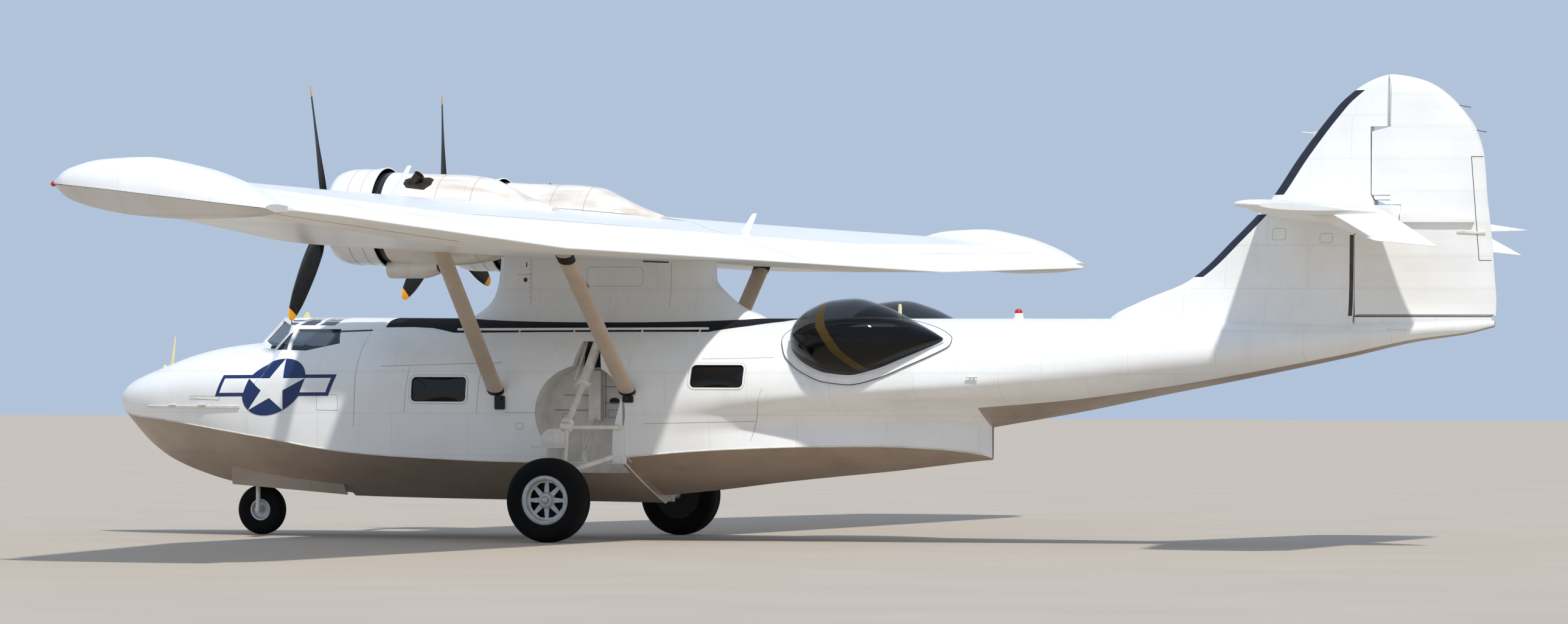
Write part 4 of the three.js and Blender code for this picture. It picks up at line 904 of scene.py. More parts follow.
outer_solid = work(hull_body(("fore", "waist")), WHITE, BOTTOM_PAINTED_SHADE)
join(outer_solid, work(hull_body(("tail",), fore=12670), WHITE, BOTTOM_PAINTED_SHADE), house_body(0, WHITE))
outer = bmesh.new()
outer.from_mesh(outer_solid.data)
print("hull lines", len(outer.verts), "points")
hull_tree = BVHTree.FromBMesh(outer)

# %% [markdown]
# The hull is hollow: a cabin with a flat floor ahead, a passage between the two wheel wells, and the
# waist with its two great openings. Each space is its own cutter, a little inside the skin. The wells are
# round, with a foot that runs out at the bottom and a slot above for the leg.

# %% Spaces in the hull
NOSE_BAY = {"fore": 1800, "aft": 3520, "half": 340, "low": 300, "roof": 1500}
WELL = {"x": 7410, "z": 1700, "radius": 640, "inner": 1000, "beyond": 1900,
        "foot_fore": 6940, "foot_aft": 8000, "foot_low": 900}
# Outline of the slot for the leg. Columns: station, height
WELL_SLOT = [(7240, 2180), (7290, 2655), (7560, 2655), (7670, 2300), (7700, 2180)]
TRUNK = {"low": (7380, 1600), "high": (7550, 2260), "depth": 130}
FLOOR_Z = 1620
PASSAGE = ((6300, -880, FLOOR_Z), (8110, 880, 2700))
WALL = 60
THIN_WALL = 38
WINDOWS = {"forward": ((4970, 1840), (5770, 2170)), "aft": ((8940, 2040), (9670, 2340))}
CORNER = 62


def rounded(low, high, radius, steps=6):
    """Outline of a rectangle with round corners."""
    middles = [(high[0] - radius, high[1] - radius, 0), (low[0] + radius, high[1] - radius, 90),
               (low[0] + radius, low[1] + radius, 180), (high[0] - radius, low[1] + radius, 270)]
    outline = []
    for x, z, start in middles:
        for angle in spaced(math.radians(start), math.radians(start + 90), steps):
            outline.append((x + radius * math.cos(angle), z + radius * math.sin(angle)))
    return outline


def cabin_body(fore, aft):
    rings = []
    for x in spaced(fore, aft, 40):
        beam_y, beam_z = fair(BEAM_ROWS, x)
        half = [(x, 0, FLOOR_Z), (x, beam_y - 1.6 * WALL, FLOOR_Z)]
        half += arch(x, beam_y - WALL, beam_z, deck_height(x) - WALL, 16)
        rings.append(whole_ring(half))
    return lofted(rings)


def well_body(side):
    low, high = sorted((WELL["inner"] * side, WELL["beyond"] * side))
    x, z = WELL["x"], WELL["z"]
    drum = work(rod((x, low, z), (x, high, z), WELL["radius"], 96), WELL_PAINT)
    foot = work(block((WELL["foot_fore"], low, WELL["foot_low"]), (WELL["foot_aft"], high, z)), WELL_PAINT)
    return join(drum, foot, work(prism(WELL_SLOT, low, high), WELL_PAINT))


def side_prism(outline, side, inner, outer_y):
    low, high = sorted((inner * side, outer_y * side))
    return prism(outline, low, high)


def side_cut(outline, side, material, inner=1150, outer_y=1700):
    return work(side_prism(outline, side, inner, outer_y), material)


print("spaces set out")

# %% [markdown]
# A blister is a blown bubble, drawn out to a point aft, that stands in a raised rim on each side. The rim
# needs the blister's outline at a distance. Simply adding to the sizes would make it too thin at the two
# ends, so the largest reach of a ball rolled along the blister is taken instead.

# %% Blister lines
BLISTER = {"y": 1020, "z": 2690, "wall": 14, "rim": 120, "rise": 26}
# Columns: station, half height, half breadth outboard
BLISTER_ROWS = [
    [10210, 40, 60], [10310, 240, 340], [10510, 400, 570], [10800, 510, 720], [11100, 535, 745],
    [11450, 450, 650], [11840, 270, 430], [12140, 115, 210], [12300, 20, 40],
]
BLISTER_STATIONS = [10210, 10220, 10240, 10270, 10310] + spaced(10310, 12300, 44)[1:]
# How far past each end the stations of a grown blister lie, in shares of what it is grown by
END_SHARES = (0.2, 0.42, 0.68, 0.86, 0.96, 1)


def grown_size(x, grow, ends):
    """Half height and reach of the outline that stays a distance off the blister all round."""
    best = [1, 1]
    for t in spaced(-grow, grow, 16):
        if ends[0] <= x + t <= ends[1]:
            lift = math.sqrt(grow**2 - t**2)
            best = [max(old, new + lift) for old, new in zip(best, fair(BLISTER_ROWS, x + t))]
    return best


def blister_body(side, grow=0, sides=72):
    rings = []
    ends = BLISTER_STATIONS[0], BLISTER_STATIONS[-1]
    stations = BLISTER_STATIONS
    if grow > 5:
        before = [ends[0] - grow * share for share in reversed(END_SHARES)]
        stations = before + stations + [ends[1] + grow * share for share in END_SHARES]
    for x in stations:
        sizes = grown_size(x, grow, ends) if grow > 5 else [v + grow for v in fair(BLISTER_ROWS, x)]
        half_height, reach = max(sizes[0], 4), max(sizes[1], 6)
        rings.append([(x, side * (BLISTER["y"] + math.cos(a) * reach),
                       BLISTER["z"] + math.sin(a) * half_height) for a in turns(sides)])
    return lofted(rings)


print("blister stations", len(BLISTER_STATIONS))

# %% [markdown]
# The skin is the outer body with every space, well and opening cut out of it in one step. It leaves the
# canopy's room free, so the canopy is set out first: it is the part of the bow above the sill.

# %% Hull skin
CANOPY = {"fore": 2060, "aft": 3850, "sill": 2490, "top": 3200, "wall": 28}
# Play between two pieces, and half the breadth of a cutter that goes right through
FIT = 0.3
BEYOND = 1600
QUARTERLIGHT = [(2730, 2532), (2995, 2534), (2962, 2782)]
SIDE_PANE = [(3050, 2530), (3290, 2522), (3765, 2622), (3655, 2818), (3010, 2818)]
ROOF_PANES = [(2960, 3200), (3260, 3500)]
ROOF_PANE_WIDTH = (110, 520)
# Room of a windscreen half. Columns: place across, lower edge, upper edge
SCREEN_PANE = [(26, 2658, 2950), (600, 2570, 2868), (790, 2543, 2757)]


# Where the waist's end sections are moved to, so that a body drawn from them passes through the joints
WAIST_ENDS = {"fore": 8010, "aft": 12650}
# Rings on the blister's rim. Columns: name, outer and inner distance from the blister, rise, finish
RIM_RINGS = [("seam", 124, 116, 29, SEAM), ("bead", 26, 0.5, 48, WHITE)]
RIM_RING_HEIGHT = 12
# Side views. Columns: station, height
HOOP_PATH = [(10640, 3300), (10750, 3300), (10900, 2860), (11120, 2540), (11440, 2230), (11700, 2080),
             (11560, 2080), (11300, 2240), (10990, 2520), (10770, 2840)]
# A black sheet down the middle of the waist: painted shade of its unlit room, seen through both blisters.
PAINTED_SHADE_SHEET = [(10060, 1700), (12450, 1700), (12450, 2700), (11700, 2860), (10060, 2860)]


def screen_cut(side):
    rings = []
    for y, low, high in SCREEN_PANE:
        ends = [(low, -260), (high, -260), (high, 120), (low, 120)]
        rings.append([(screen_x(y, z) + push, y * side, z) for z, push in ends])
    return work(lofted(rings), WHITE)


def bow_shell(wall, material):
    """Closed solid of the bow with its sides and deck drawn in by a wall."""
    rings = []
    for x in run_stations("fore"):
        if x > 4300:
            break
        half = hull_half(x, "fore")
        beam_y, beam_z = fair(BEAM_ROWS, x)
        tight = max(beam_y - wall, 20) / beam_y
        deck = deck_height(x)
        flat = (deck - wall - beam_z) / (deck - beam_z)
        drawn_in = [(x, y * tight, beam_z + (z - beam_z) * flat if z > beam_z else z) for x, y, z in half]
        rings.append(whole_ring(drawn_in))
    return join(work(lofted(rings), material), house_body(wall, material))


canopy_block = rectangle((CANOPY["fore"], CANOPY["sill"]), (CANOPY["aft"], CANOPY["top"]))
hull = twin(outer_solid)
tools = [
    work(prism(canopy_block, -BEYOND, BEYOND), INSIDE_PAINTED_SHADE),
    work(cabin_body(780, 6400), INSIDE_PAINTED_SHADE),
    work(block(*PASSAGE), INSIDE_PAINTED_SHADE),
    work(hull_body(("waist",), wall=THIN_WALL, **WAIST_ENDS), INSIDE_PAINTED_SHADE),
    work(block((NOSE_BAY["fore"], -NOSE_BAY["half"], NOSE_BAY["low"]),
               (NOSE_BAY["aft"], NOSE_BAY["half"], NOSE_BAY["roof"])), WELL_PAINT),
]
for side in SIDES.values():
    tools.append(well_body(side))
    tools += [side_cut(rounded(*window, CORNER), side, WHITE) for window in WINDOWS.values()]
    tools.append(work(blister_body(side, FIT), WHITE))
cut(hull, *tools)
for side in SIDES.values():
    low, high = sorted(((WELL["inner"] - 40) * side, (WELL["inner"] + TRUNK["depth"]) * side))
    trunk = block((TRUNK["low"][0], low, TRUNK["low"][1]), (TRUNK["high"][0], high, TRUNK["high"][1]))
    join(hull, work(trunk, WELL_PAINT))
piece("hull_skin", hull, replaces=("hull_bow", "hull_centre", "hull_waist", "hull_tail"))
print("hull skin", len(hull.data.polygons), "faces")

# %% [markdown]
# The canopy's frame is a thin shell of the bow's lines within that room, with the panes cut out, and the
# glass is a thinner shell just inside it.

# %% Canopy framing and glass
canopy_room = rectangle((CANOPY["fore"] + FIT, CANOPY["sill"] + FIT), (CANOPY["aft"] - FIT, CANOPY["top"]))
zone = work(prism(canopy_room, -BEYOND, BEYOND), WHITE)
canopy = bow_shell(0, WHITE)
keep(canopy, twin(zone))
cut(canopy, bow_shell(CANOPY["wall"], INSIDE_PAINTED_SHADE))
panes = [work(prism(outline, -BEYOND, BEYOND), WHITE) for outline in (QUARTERLIGHT, SIDE_PANE)]
for side in SIDES.values():
    panes.append(screen_cut(side))
    for fore, aft in ROOF_PANES:
        low, high = sorted(place * side for place in ROOF_PANE_WIDTH)
        panes.append(work(block((fore, low, 2800), (aft, high, CANOPY["top"])), WHITE))
cut(canopy, *panes)
piece("canopy_framing", canopy, replaces=("canopy_frame",), crease=25)
glass = bow_shell(CANOPY["wall"] + FIT, CLEAR_GLASS)
keep(glass, zone)
cut(glass, bow_shell(CANOPY["wall"] + 8, CLEAR_GLASS))
piece("canopy_panes", glass, replaces=("canopy_glass",), crease=25)
print("canopy made")

# %% [markdown]
# A side window is one bulged pane. A blister's glass is the bubble less a smaller one, cut off where it
# meets the hull. Round it lie a raised rim, a dark joint and a bead, and inside it a yellow hoop.

# %% Windows and blisters
def skin_point(x, z, side, inset=0):
    """Point on the hull's side at a station and height, pushed in by inset."""
    hit, normal, _, _ = hull_tree.ray_cast(Vector((x, BESIDE * side, z)), inward(side))
    return hit - normal * inset


def window_pane(name, low, high, side):
    bm = bmesh.new()
    bmesh.ops.create_grid(bm, x_segments=12, y_segments=8, size=0.5)
    for v in bm.verts:
        x = low[0] + (v.co.x + 0.5) * (high[0] - low[0])
        bulge = 34 * (1 - 4 * v.co.x**2) * (1 - 4 * v.co.y**2)
        v.co = skin_point(x, low[1] + (v.co.y + 0.5) * (high[1] - low[1]), side, 22 - bulge)
    bmesh.ops.solidify(bm, geom=bm.faces[:], thickness=8)
    bmesh.ops.recalc_face_normals(bm, faces=bm.faces)
    return piece(f"window_pane_{name}", bm, replaces=(f"window_{name}",),
                 materials=(WINDOW_GLASS_PAINTED_SHADE,))


for side_name, side in SIDES.items():
    for place, (low, high) in WINDOWS.items():
        window_pane(f"{place}_{side_name}", (low[0] - 4, low[1] - 4), (high[0] + 4, high[1] + 4), side)
    bubble = work(blister_body(side), BLISTER_GLASS_PAINTED_SHADE)
    cut(bubble, work(blister_body(side, -BLISTER["wall"]), BLISTER_GLASS_PAINTED_SHADE))
    low, high = sorted((0, 4000 * side))
    keep(bubble, work(block((10000, low, 1000), (13000, high, 4000)), BLISTER_GLASS_PAINTED_SHADE))
    inner_hull = hull_body(("waist",))
    bmesh.ops.translate(inner_hull, verts=inner_hull.verts, vec=(0, -side * 42, -14))
    cut(bubble, work(inner_hull, BLISTER_GLASS_PAINTED_SHADE))
    piece(f"blister_glass_{side_name}", bubble, replaces=(f"blister_{side_name}",), crease=50)
    rim = work(blister_body(side, BLISTER["rim"]), WHITE)
    keep(rim, work(hull_body(("waist",), grow=BLISTER["rise"]), WHITE))
    cut(rim, work(blister_body(side, 1), WHITE),
            work(hull_body(("waist",), wall=20, **WAIST_ENDS), WHITE))
    piece(f"blister_rim_{side_name}", rim)
    for name, wide, narrow, rise, coat in RIM_RINGS:
        ring = work(blister_body(side, wide), coat)
        keep(ring, work(hull_body(("waist",), grow=rise), coat))
        inside_hull = hull_body(("waist",), wall=RIM_RING_HEIGHT - rise, **WAIST_ENDS)
        cut(ring, work(blister_body(side, narrow), coat), work(inside_hull, coat))
        piece(f"blister_{name}_{side_name}", ring, crease=50)
    hoop = work(side_prism(HOOP_PATH, side, 1050, 1900), HOOP_YELLOW)
    keep(hoop, work(blister_body(side, -17), HOOP_YELLOW))
    cut(hoop, work(blister_body(side, -24), HOOP_YELLOW))
    piece(f"blister_hoop_{side_name}", hoop, crease=50)
# The black sheet is painted shade. It keeps the waist dark behind the blister glass.
piece("waist_painted_shade_sheet", prism(PAINTED_SHADE_SHEET, -12, 12), materials=(DRUM,), bevel=4)
print("windows and blisters made")

# %% [markdown]
# The wing is one long parallel centre panel and two tapered outer panels. Its section is a classic
# thick one, worked out from the usual thickness formula, so that nose and tail are fair at any finish.
# Behind the rear spar it is fabric, with the ailerons set in.

# %% Wing lines
WING_SPLIT = 7500
REAR_SPAR = 8200
# Columns: spanwise place, leading edge x and z, trailing edge x and z, thickness ratio
WING_ROWS = [
    [7500, 4980, 4190, 9550, 3740, 0.15],
    [14500, 6330, 4275, 9540, 3945, 0.125],
    [15150, 6560, 4285, 9380, 3975, 0.12],
]
AILERON = {"ends": ((8760, 8900, 3911), (8760, 14500, 4072)), "radii": (124, 102)}
PIN = {"radius": 20, "reach": 45, "root": 30, "clearance": 0.9}
# Gap at each end of a control surface, play round its nose, and how far ahead of the hinge its bay begins
GAP = 14
COVE = 10
SETBACK = 30


def section(y, lead_x, lead_z, trail_x, trail_z, ratio, steps=26, camber=0.02):
    """Outline of a wing section from the trailing edge over the top to the nose and back."""
    chord = math.hypot(trail_x - lead_x, trail_z - lead_z)
    down = math.atan2(lead_z - trail_z, trail_x - lead_x)

    def at(t, sign):
        half = 5 * ratio * (0.2969 * math.sqrt(t) - 0.126 * t - 0.3516 * t**2 + 0.2843 * t**3 - 0.1036 * t**4)
        rise = (camber * 4 * t * (1 - t) + sign * max(half, 0.0012 if t > 0.9 else 0)) * chord
        along = t * chord
        return (lead_x + along * math.cos(down) + rise * math.sin(down), y,
                lead_z - along * math.sin(down) + rise * math.cos(down))

    spread = [(1 - math.cos(math.pi * i / steps)) / 2 for i in range(steps + 1)]
    return [at(t, 1) for t in reversed(spread)] + [at(t, -1) for t in spread[1:]]


def straight(rows, y):
    """The table's other columns at y, on straight lines between its rows."""
    i = max(k for k in range(len(rows) - 1) if rows[k][0] <= y or k == 0)
    t = (y - rows[i][0]) / (rows[i + 1][0] - rows[i][0])
    return [a + (b - a) * t for a, b in zip(rows[i][1:], rows[i + 1][1:])]


def wing_centre():
    return lofted([section(y, *WING_ROWS[0][1:]) for y in spaced(-WING_SPLIT, WING_SPLIT, 24)])


def wing_outer(side):
    bend, end = [row[0] for row in WING_ROWS[1:]]
    ys = spaced(WING_SPLIT + FIT, bend, 20) + spaced(bend, end, 6)[1:]
    return mirrored(lofted([section(y, *straight(WING_ROWS, y)) for y in ys]), side)


def hinge_nose(ends, radii, gap, grow=0):
    start, end = Vector(ends[0]), Vector(ends[1])
    along = (end - start).normalized()
    return rod(start + along * gap, end - along * gap, radii[0] + grow, 40, radii[1] + grow)


def hinge_pin(ends, at_end, gap, grow=0):
    start, end = Vector(ends[0]), Vector(ends[1])
    along = (end - start).normalized() * (1 if at_end else -1)
    point = end if at_end else start
    root, tip = point - along * (gap + PIN["root"]), point + along * (PIN["reach"] + grow)
    return rod(root, tip, PIN["radius"] + grow, 20)


print("wing lines set out")

# %% [markdown]
# The panels are the lofts cut at the rear spar: alloy ahead of it and fabric behind. An aileron is cut
# from the same loft as the fabric round it, and turns on a round nose with a pin at each end.

# %% Wing panels and ailerons
FAR = 30000
ahead_zone = block((0, -FAR, 0), (REAR_SPAR, FAR, FAR))
behind_zone = block((REAR_SPAR + FIT, -FAR, 0), (FAR, FAR, FAR))


def part_of(shape, zone_bm, *materials):
    return keep(work(shape, *materials), work(zone_bm.copy(), *materials))


piece("wing_skin_centre", part_of(wing_centre(), ahead_zone, WING_WHITE), replaces=("wing_centre",))
piece("trailing_fabric_centre", part_of(wing_centre(), behind_zone, FABRIC),
      replaces=("trailing_edge_centre",))
for side_name, side in SIDES.items():
    piece(f"wing_skin_{side_name}", part_of(wing_outer(side), ahead_zone, WING_WHITE),
          replaces=(f"wing_outer_{side_name}",))
    ends, radii = AILERON["ends"], AILERON["radii"]
    x, inner_y = ends[0][:2]
    outer_y = ends[1][1]
    edge = part_of(wing_outer(side), behind_zone, FABRIC)
    holes = [block((x - SETBACK, inner_y, 0), (FAR, outer_y, FAR)), hinge_nose(ends, radii, 0, COVE),
             hinge_pin(ends, True, GAP, PIN["clearance"]), hinge_pin(ends, False, GAP, PIN["clearance"])]
    cut(edge, *[work(mirrored(hole, side), FABRIC) for hole in holes])
    piece(f"trailing_fabric_{side_name}", edge, replaces=(f"trailing_edge_{side_name}",))
    zone_block = mirrored(block((x, inner_y + GAP, 0), (FAR, outer_y - GAP, FAR)), side)
    aileron = part_of(wing_outer(side), zone_block, FABRIC)
    rounds = [hinge_nose(ends, radii, GAP), hinge_pin(ends, True, GAP), hinge_pin(ends, False, GAP)]
    join(aileron, *[work(mirrored(bm, side), FABRIC) for bm in rounds])
    piece(f"aileron_fabric_{side_name}", aileron, f"aileron_{side_name}",
          (f"aileron_{side_name}",))
print("wing made")

# %% [markdown]
# When the wing-tip floats are folded up they become the wing tips. They are little boats on their side:
# a hard keel edge outboard, a domed deck above and a flat planing face below.

# %% Floats
# Columns: station, keel place, keel height, top height, top place, bottom height, bottom place
FLOAT_ROWS = [
    [6480, 15400, 4290, 4315, 15330, 4265, 15330],
    [6700, 15620, 4272, 4460, 15400, 4130, 15480],
    [7150, 15780, 4230, 4560, 15420, 4000, 15600],
    [7650, 15850, 4175, 4580, 15420, 3920, 15640],
    [8250, 15850, 4105, 4480, 15420, 3880, 15640],
    [8800, 15820, 4040, 4290, 15420, 3895, 15600],
    [9250, 15760, 3990, 4040, 15400, 3950, 15500],
]
FLOAT_INBOARD = 15150.3
FLOAT_FLAT_STEPS = 4


def float_body(side):
    rings = []
    for x in [6480, 6490, 6510, 6540, 6580] + spaced(6640, 9250, 34):
        keel_y, keel_z, top_z, top_y, bottom_z, bottom_y = fair(FLOAT_ROWS, x)
        ring = [(x, FLOAT_INBOARD, bottom_z + 12)]
        for t in spaced(0, 1, FLOAT_FLAT_STEPS):
            ring.append((x, bottom_y + (keel_y - bottom_y) * t, bottom_z + (keel_z - bottom_z) * t))
        for angle in spaced(0, math.pi / 2, 12)[1:]:
            across = top_y + (keel_y - top_y) * math.cos(angle) ** 0.8
            ring.append((x, across, keel_z + (top_z - keel_z) * math.sin(angle)))
        ring.append((x, FLOAT_INBOARD, top_z - 12))
        rings.append(ring)
    # The steps of the planing face take the painted shade.
    painted_shade_grey = FLOAT_FLAT_STEPS + 1
    return mirrored(lofted(rings, [1] * painted_shade_grey + [0] * (len(rings[0]) - painted_shade_grey)), side)


# The float's planing face is coloured as painted shade of a face turned out and down. The enamel itself is
# white like the rest.
FLOAT_PAINTED_SHADE = enamel("float bottom enamel", "#d6d2cc", "#c8c3bb", "#8f877b", roughness=0.4)
for side_name, side in SIDES.items():
    piece(f"float_shell_{side_name}", float_body(side), replaces=(f"float_{side_name}",),
          materials=(WHITE, FLOAT_PAINTED_SHADE))
print("floats made")

# %% [markdown]
# The pylon carries the wing. It is a thick streamlined wall that flares out where it meets the deck, so its
# sections are superellipses whose size follows a table by height.

# %% Pylon and struts
# Columns: height, front x, back x, half breadth
PYLON_ROWS = [
    [2700, 5100, 9650, 620], [2975, 5270, 9480, 520], [3130, 5480, 9150, 440],
    [3300, 5600, 8930, 400], [3500, 5650, 8770, 385], [4000, 5700, 8750, 385],
]


def pylon_body(sides=96):
    rings = []
    for z in spaced(PYLON_ROWS[0][0], PYLON_ROWS[-1][0], 40):
        front, back, half = fair(PYLON_ROWS, z)
        ring = []
        for a in turns(sides):
            c, s = math.cos(a), math.sin(a)
            ring.append(((front + back) / 2 + (back - front) / 2 * math.copysign(abs(c) ** 0.85, c),
                         half * math.copysign(abs(s) ** 0.75, s), z))
        rings.append(ring)
    return lofted(rings)


pylon = work(pylon_body(), WHITE)
cut(pylon, work(wing_centre(), WHITE), twin(outer_solid))
pylon_tree = solid_tree(pylon)
piece("pylon_skin", pylon, replaces=("pylon",))

STRUTS = {"front": ((6210, 1440, 1890), (6290, 3810, 3960)), "rear": ((8090, 1440, 1900), (8070, 3810, 3760))}
STRUT_CHORD = 118
STRUT_THICKNESS = 57


def strut_body(foot, head, side, low=0, high=1, grow=0, steps=8):
    """An oval strut, or the stretch of it from low to high, grown all round."""
    chord, thickness = STRUT_CHORD + grow, STRUT_THICKNESS + grow
    rings = []
    for t in spaced(low, high, steps):
        x, y, z = Vector(foot).lerp(Vector(head), t)
        rings.append([(x + chord * math.cos(a), y, z + thickness * math.sin(a)) for a in turns(36)])
    return mirrored(lofted(rings), side)


for side_name, side in SIDES.items():
    for place, (foot, head) in STRUTS.items():
        strut = work(strut_body(foot, head, side), STRUT_BEIGE)
        cut(strut, work(wing_centre(), STRUT_BEIGE), twin(outer_solid))
        piece(f"strut_fairing_{place}_{side_name}", strut,
              replaces=(f"strut_{place}_{side_name}",))
print("pylon and struts made")

# %% [markdown]
# Each nacelle is a barrel behind the engine that fades into the wing. The ring cowl ahead of it is a
# turned sheet with a rolled lip.

# %% Nacelles and cowls
ENGINE = {"x": 4170, "y": 2050, "z": 4300, "prop_x": 3974}
# Columns: station, centre height, half height, half breadth
NACELLE_ROWS = [
    [4790, 4300, 570, 570], [4900, 4293, 605, 600], [5400, 4262, 610, 592], [5900, 4255, 602, 580],
    [6350, 4256, 550, 545], [6600, 4250, 445, 480], [6900, 4235, 315, 370], [7250, 4205, 215, 220],
]
SCOOP_ROWS = [[4910, 3610, 130, 190], [5370, 3610, 130, 190], [5620, 3640, 98, 162]]
# Black discs at the scoop's exit and mouth, painted shade of its openings. Columns: half breadth, half
# height, centre height, first and last station
SCOOP_OPENING_PAINTED_SHADE = ((138, 78, 3640, 5600, 5623), (150, 100, 3610, 4905, 4920))
COWL_OUTLINE = [
    (455, 60), (470, 22), (490, 5), (525, 6), (570, 30), (600, 80), (618, 140), (632, 200), (640, 280),
    (640, 570), (664, 690), (648, 694), (624, 570), (624, 280), (590, 140), (500, 70),
]


def barrel(rows, centre_y, sides=72, count=40):
    rings = []
    for x in spaced(rows[0][0], rows[-1][0], count):
        z, half_height, half_breadth = fair(rows, x)
        angles = [2 * math.pi * (i + 0.5) / sides for i in range(sides)]
        rings.append([(x, centre_y + half_breadth * math.cos(a), z + half_height * math.sin(a))
                      for a in angles])
    return lofted(rings)


def cowl_body(y):
    bm = spun(COWL_OUTLINE, (ENGINE["x"], y, ENGINE["z"]), "x", 96)
    for face in bm.faces:
        middle = face.calc_center_median()
        out = Vector((0, middle.y - y, middle.z - ENGINE["z"]))
        face.material_index = int(face.normal.dot(out) < 0 and middle.x > ENGINE["x"] + 30)
    return bm


def ellipse(half_a, half_b, middle_a, middle_b, sides=36):
    return [(middle_a + half_a * math.cos(t), middle_b + half_b * math.sin(t)) for t in turns(sides)]


def stub_body(side):
    """Exhaust stub: a bent-looking tube with a rolled open end."""
    start = Vector((5330, (ENGINE["y"] + 330) * side, 4700))
    end = Vector((5462, (ENGINE["y"] + 364) * side, 4850))
    length = (end - start).length
    outline = [(66, 0), (66, length - 30), (72, length - 12), (70, length), (60, length), (56, length - 14),
               (56, length - 200), (0, length - 210), (0, 0)]
    return placed(spun(outline, (0, 0, 0), "z", 32), start, end - start)


NACELLE_GAP_AFT = 4990
nacelle_trees = {}
for side_name, side in SIDES.items():
    y = ENGINE["y"] * side
    barrel_bm = barrel(NACELLE_ROWS, y)
    for face in barrel_bm.faces:
        face.material_index = int(face.calc_center_median().x < NACELLE_GAP_AFT)
    nacelle = work(barrel_bm, NACELLE_PAINTED_SHADE_AND_SOOT, BLACK)
    join(nacelle, work(barrel(SCOOP_ROWS, y, 40, 16), NACELLE_PAINTED_SHADE_AND_SOOT))
    cut(nacelle, work(wing_centre(), NACELLE_PAINTED_SHADE_AND_SOOT))
    nacelle_trees[side] = solid_tree(nacelle)
    piece(f"nacelle_skin_{side_name}", nacelle, replaces=(f"nacelle_{side_name}",))
    piece(f"cowl_ring_{side_name}", cowl_body(y), replaces=(f"cowling_{side_name}",),
          materials=(WHITE, BLACK))
    piece(f"exhaust_stub_{side_name}", stub_body(side), materials=(DARK_METAL,))
    # The scoop's openings are black discs of painted shade.
    painted_openings = [prism(ellipse(wide, high, y, z), fore, aft, "x") for wide, high, z, fore, aft in SCOOP_OPENING_PAINTED_SHADE]
    piece(f"scoop_opening_painted_shade_{side_name}", gathered(painted_openings), materials=(BLACK,))
print("nacelles and cowls made")

# %% [markdown]
# The engines are two-row radials. A cylinder is a barrel with thin cooling fins and a head, turned once
# and copied round the crankcase, seven in a row, the rear row showing between the front one's.

# %% Engines
ENGINE_ROWS = ((290, 0), (470, 0.5))
CYLINDERS = 7
FIN_PITCH = 26
ROD_LEAN = 0.13
# Columns: radius, place along the crankshaft
CASE_PROFILE = [
    (0, -84), (60, -84), (96, -60), (112, 0), (120, 90), (200, 170), (232, 210), (240, 290), (215, 380),
    (240, 470), (236, 560), (180, 610), (0, 612),
]


def cylinder_body():
    outline = [(0, 180), (74, 180)]
    height = 235
    while height < 500:
        top_end = height > 400
        core, reach = (84, 112) if top_end else (76, 96)
        outline += [(core, height), (reach, height + 3), (reach, height + 9), (core, height + 12)]
        height += FIN_PITCH
    outline += [(84, 512), (60, 536), (0, 540)]
    return spun(outline, (0, 0, 0), "z", 20)


def push_rod(y, back, turn):
    """Tube over a rod that works a valve, from the case to the cylinder's head."""
    ends = [(ENGINE["x"] + back - ahead, y + reach * math.sin(turn), ENGINE["z"] + reach * math.cos(turn))
            for ahead, reach in ((105, 225), (60, 500))]
    return rod(*ends, 9, 10)


def engine_body(side):
    y = ENGINE["y"] * side
    shapes = [spun(CASE_PROFILE, (ENGINE["x"], y, ENGINE["z"]), "x", 48)]
    for back, offset in ENGINE_ROWS:
        for i in range(CYLINDERS):
            turn = 2 * math.pi * (i + offset) / CYLINDERS
            out = (0, math.sin(turn), math.cos(turn))
            shapes.append(placed(cylinder_body(), (ENGINE["x"] + back, y, ENGINE["z"]), out))
            if offset == 0:
                shapes += [push_rod(y, back, turn + lean) for lean in (-ROD_LEAN, ROD_LEAN)]
    shapes.append(spun(rectangle((250, 400), (618, 412)), (ENGINE["x"], y, ENGINE["z"]), "x", 64))
    return gathered(shapes, [0] * (len(shapes) - 1) + [1])


for side_name, side in SIDES.items():
    piece(f"engine_block_{side_name}", engine_body(side),
          replaces=(f"engine_{side_name}",), materials=(STEEL, BLACK), crease=40)
print("engines made")

# %% [markdown]
# A propeller has three forged blades, black on both faces so that they do not dazzle, with yellow tips
# that show how far the disc reaches. Each blade is lofted from round root to thin tip with its twist.

# %% Propellers
# Columns: radius, chord, thickness, pitch in degrees
BLADE_ROWS = [
    [90, 120, 110, 60], [300, 130, 90, 52], [600, 235, 52, 42], [1000, 262, 36, 32], [1400, 240, 26, 25],
    [1700, 165, 18, 21], [1790, 116, 14, 20.3], [1830, 60, 12, 20],
]
BLADE_TIP = 1830
TIP_PAINT = 150
PROP_REST = {"port": 0.33, "starboard": 0.08}
HUB_PROFILE = [
    (0, -170), (26, -168), (46, -158), (55, -140), (58, -116), (92, -106), (110, -84), (119, -40), (120, 56),
    (106, 84), (90, 96), (90, 110), (0, 110),
]
COLLAR_PROFILE = [(0, 60), (72, 60), (74, 120), (66, 150), (62, 190), (0, 190)]


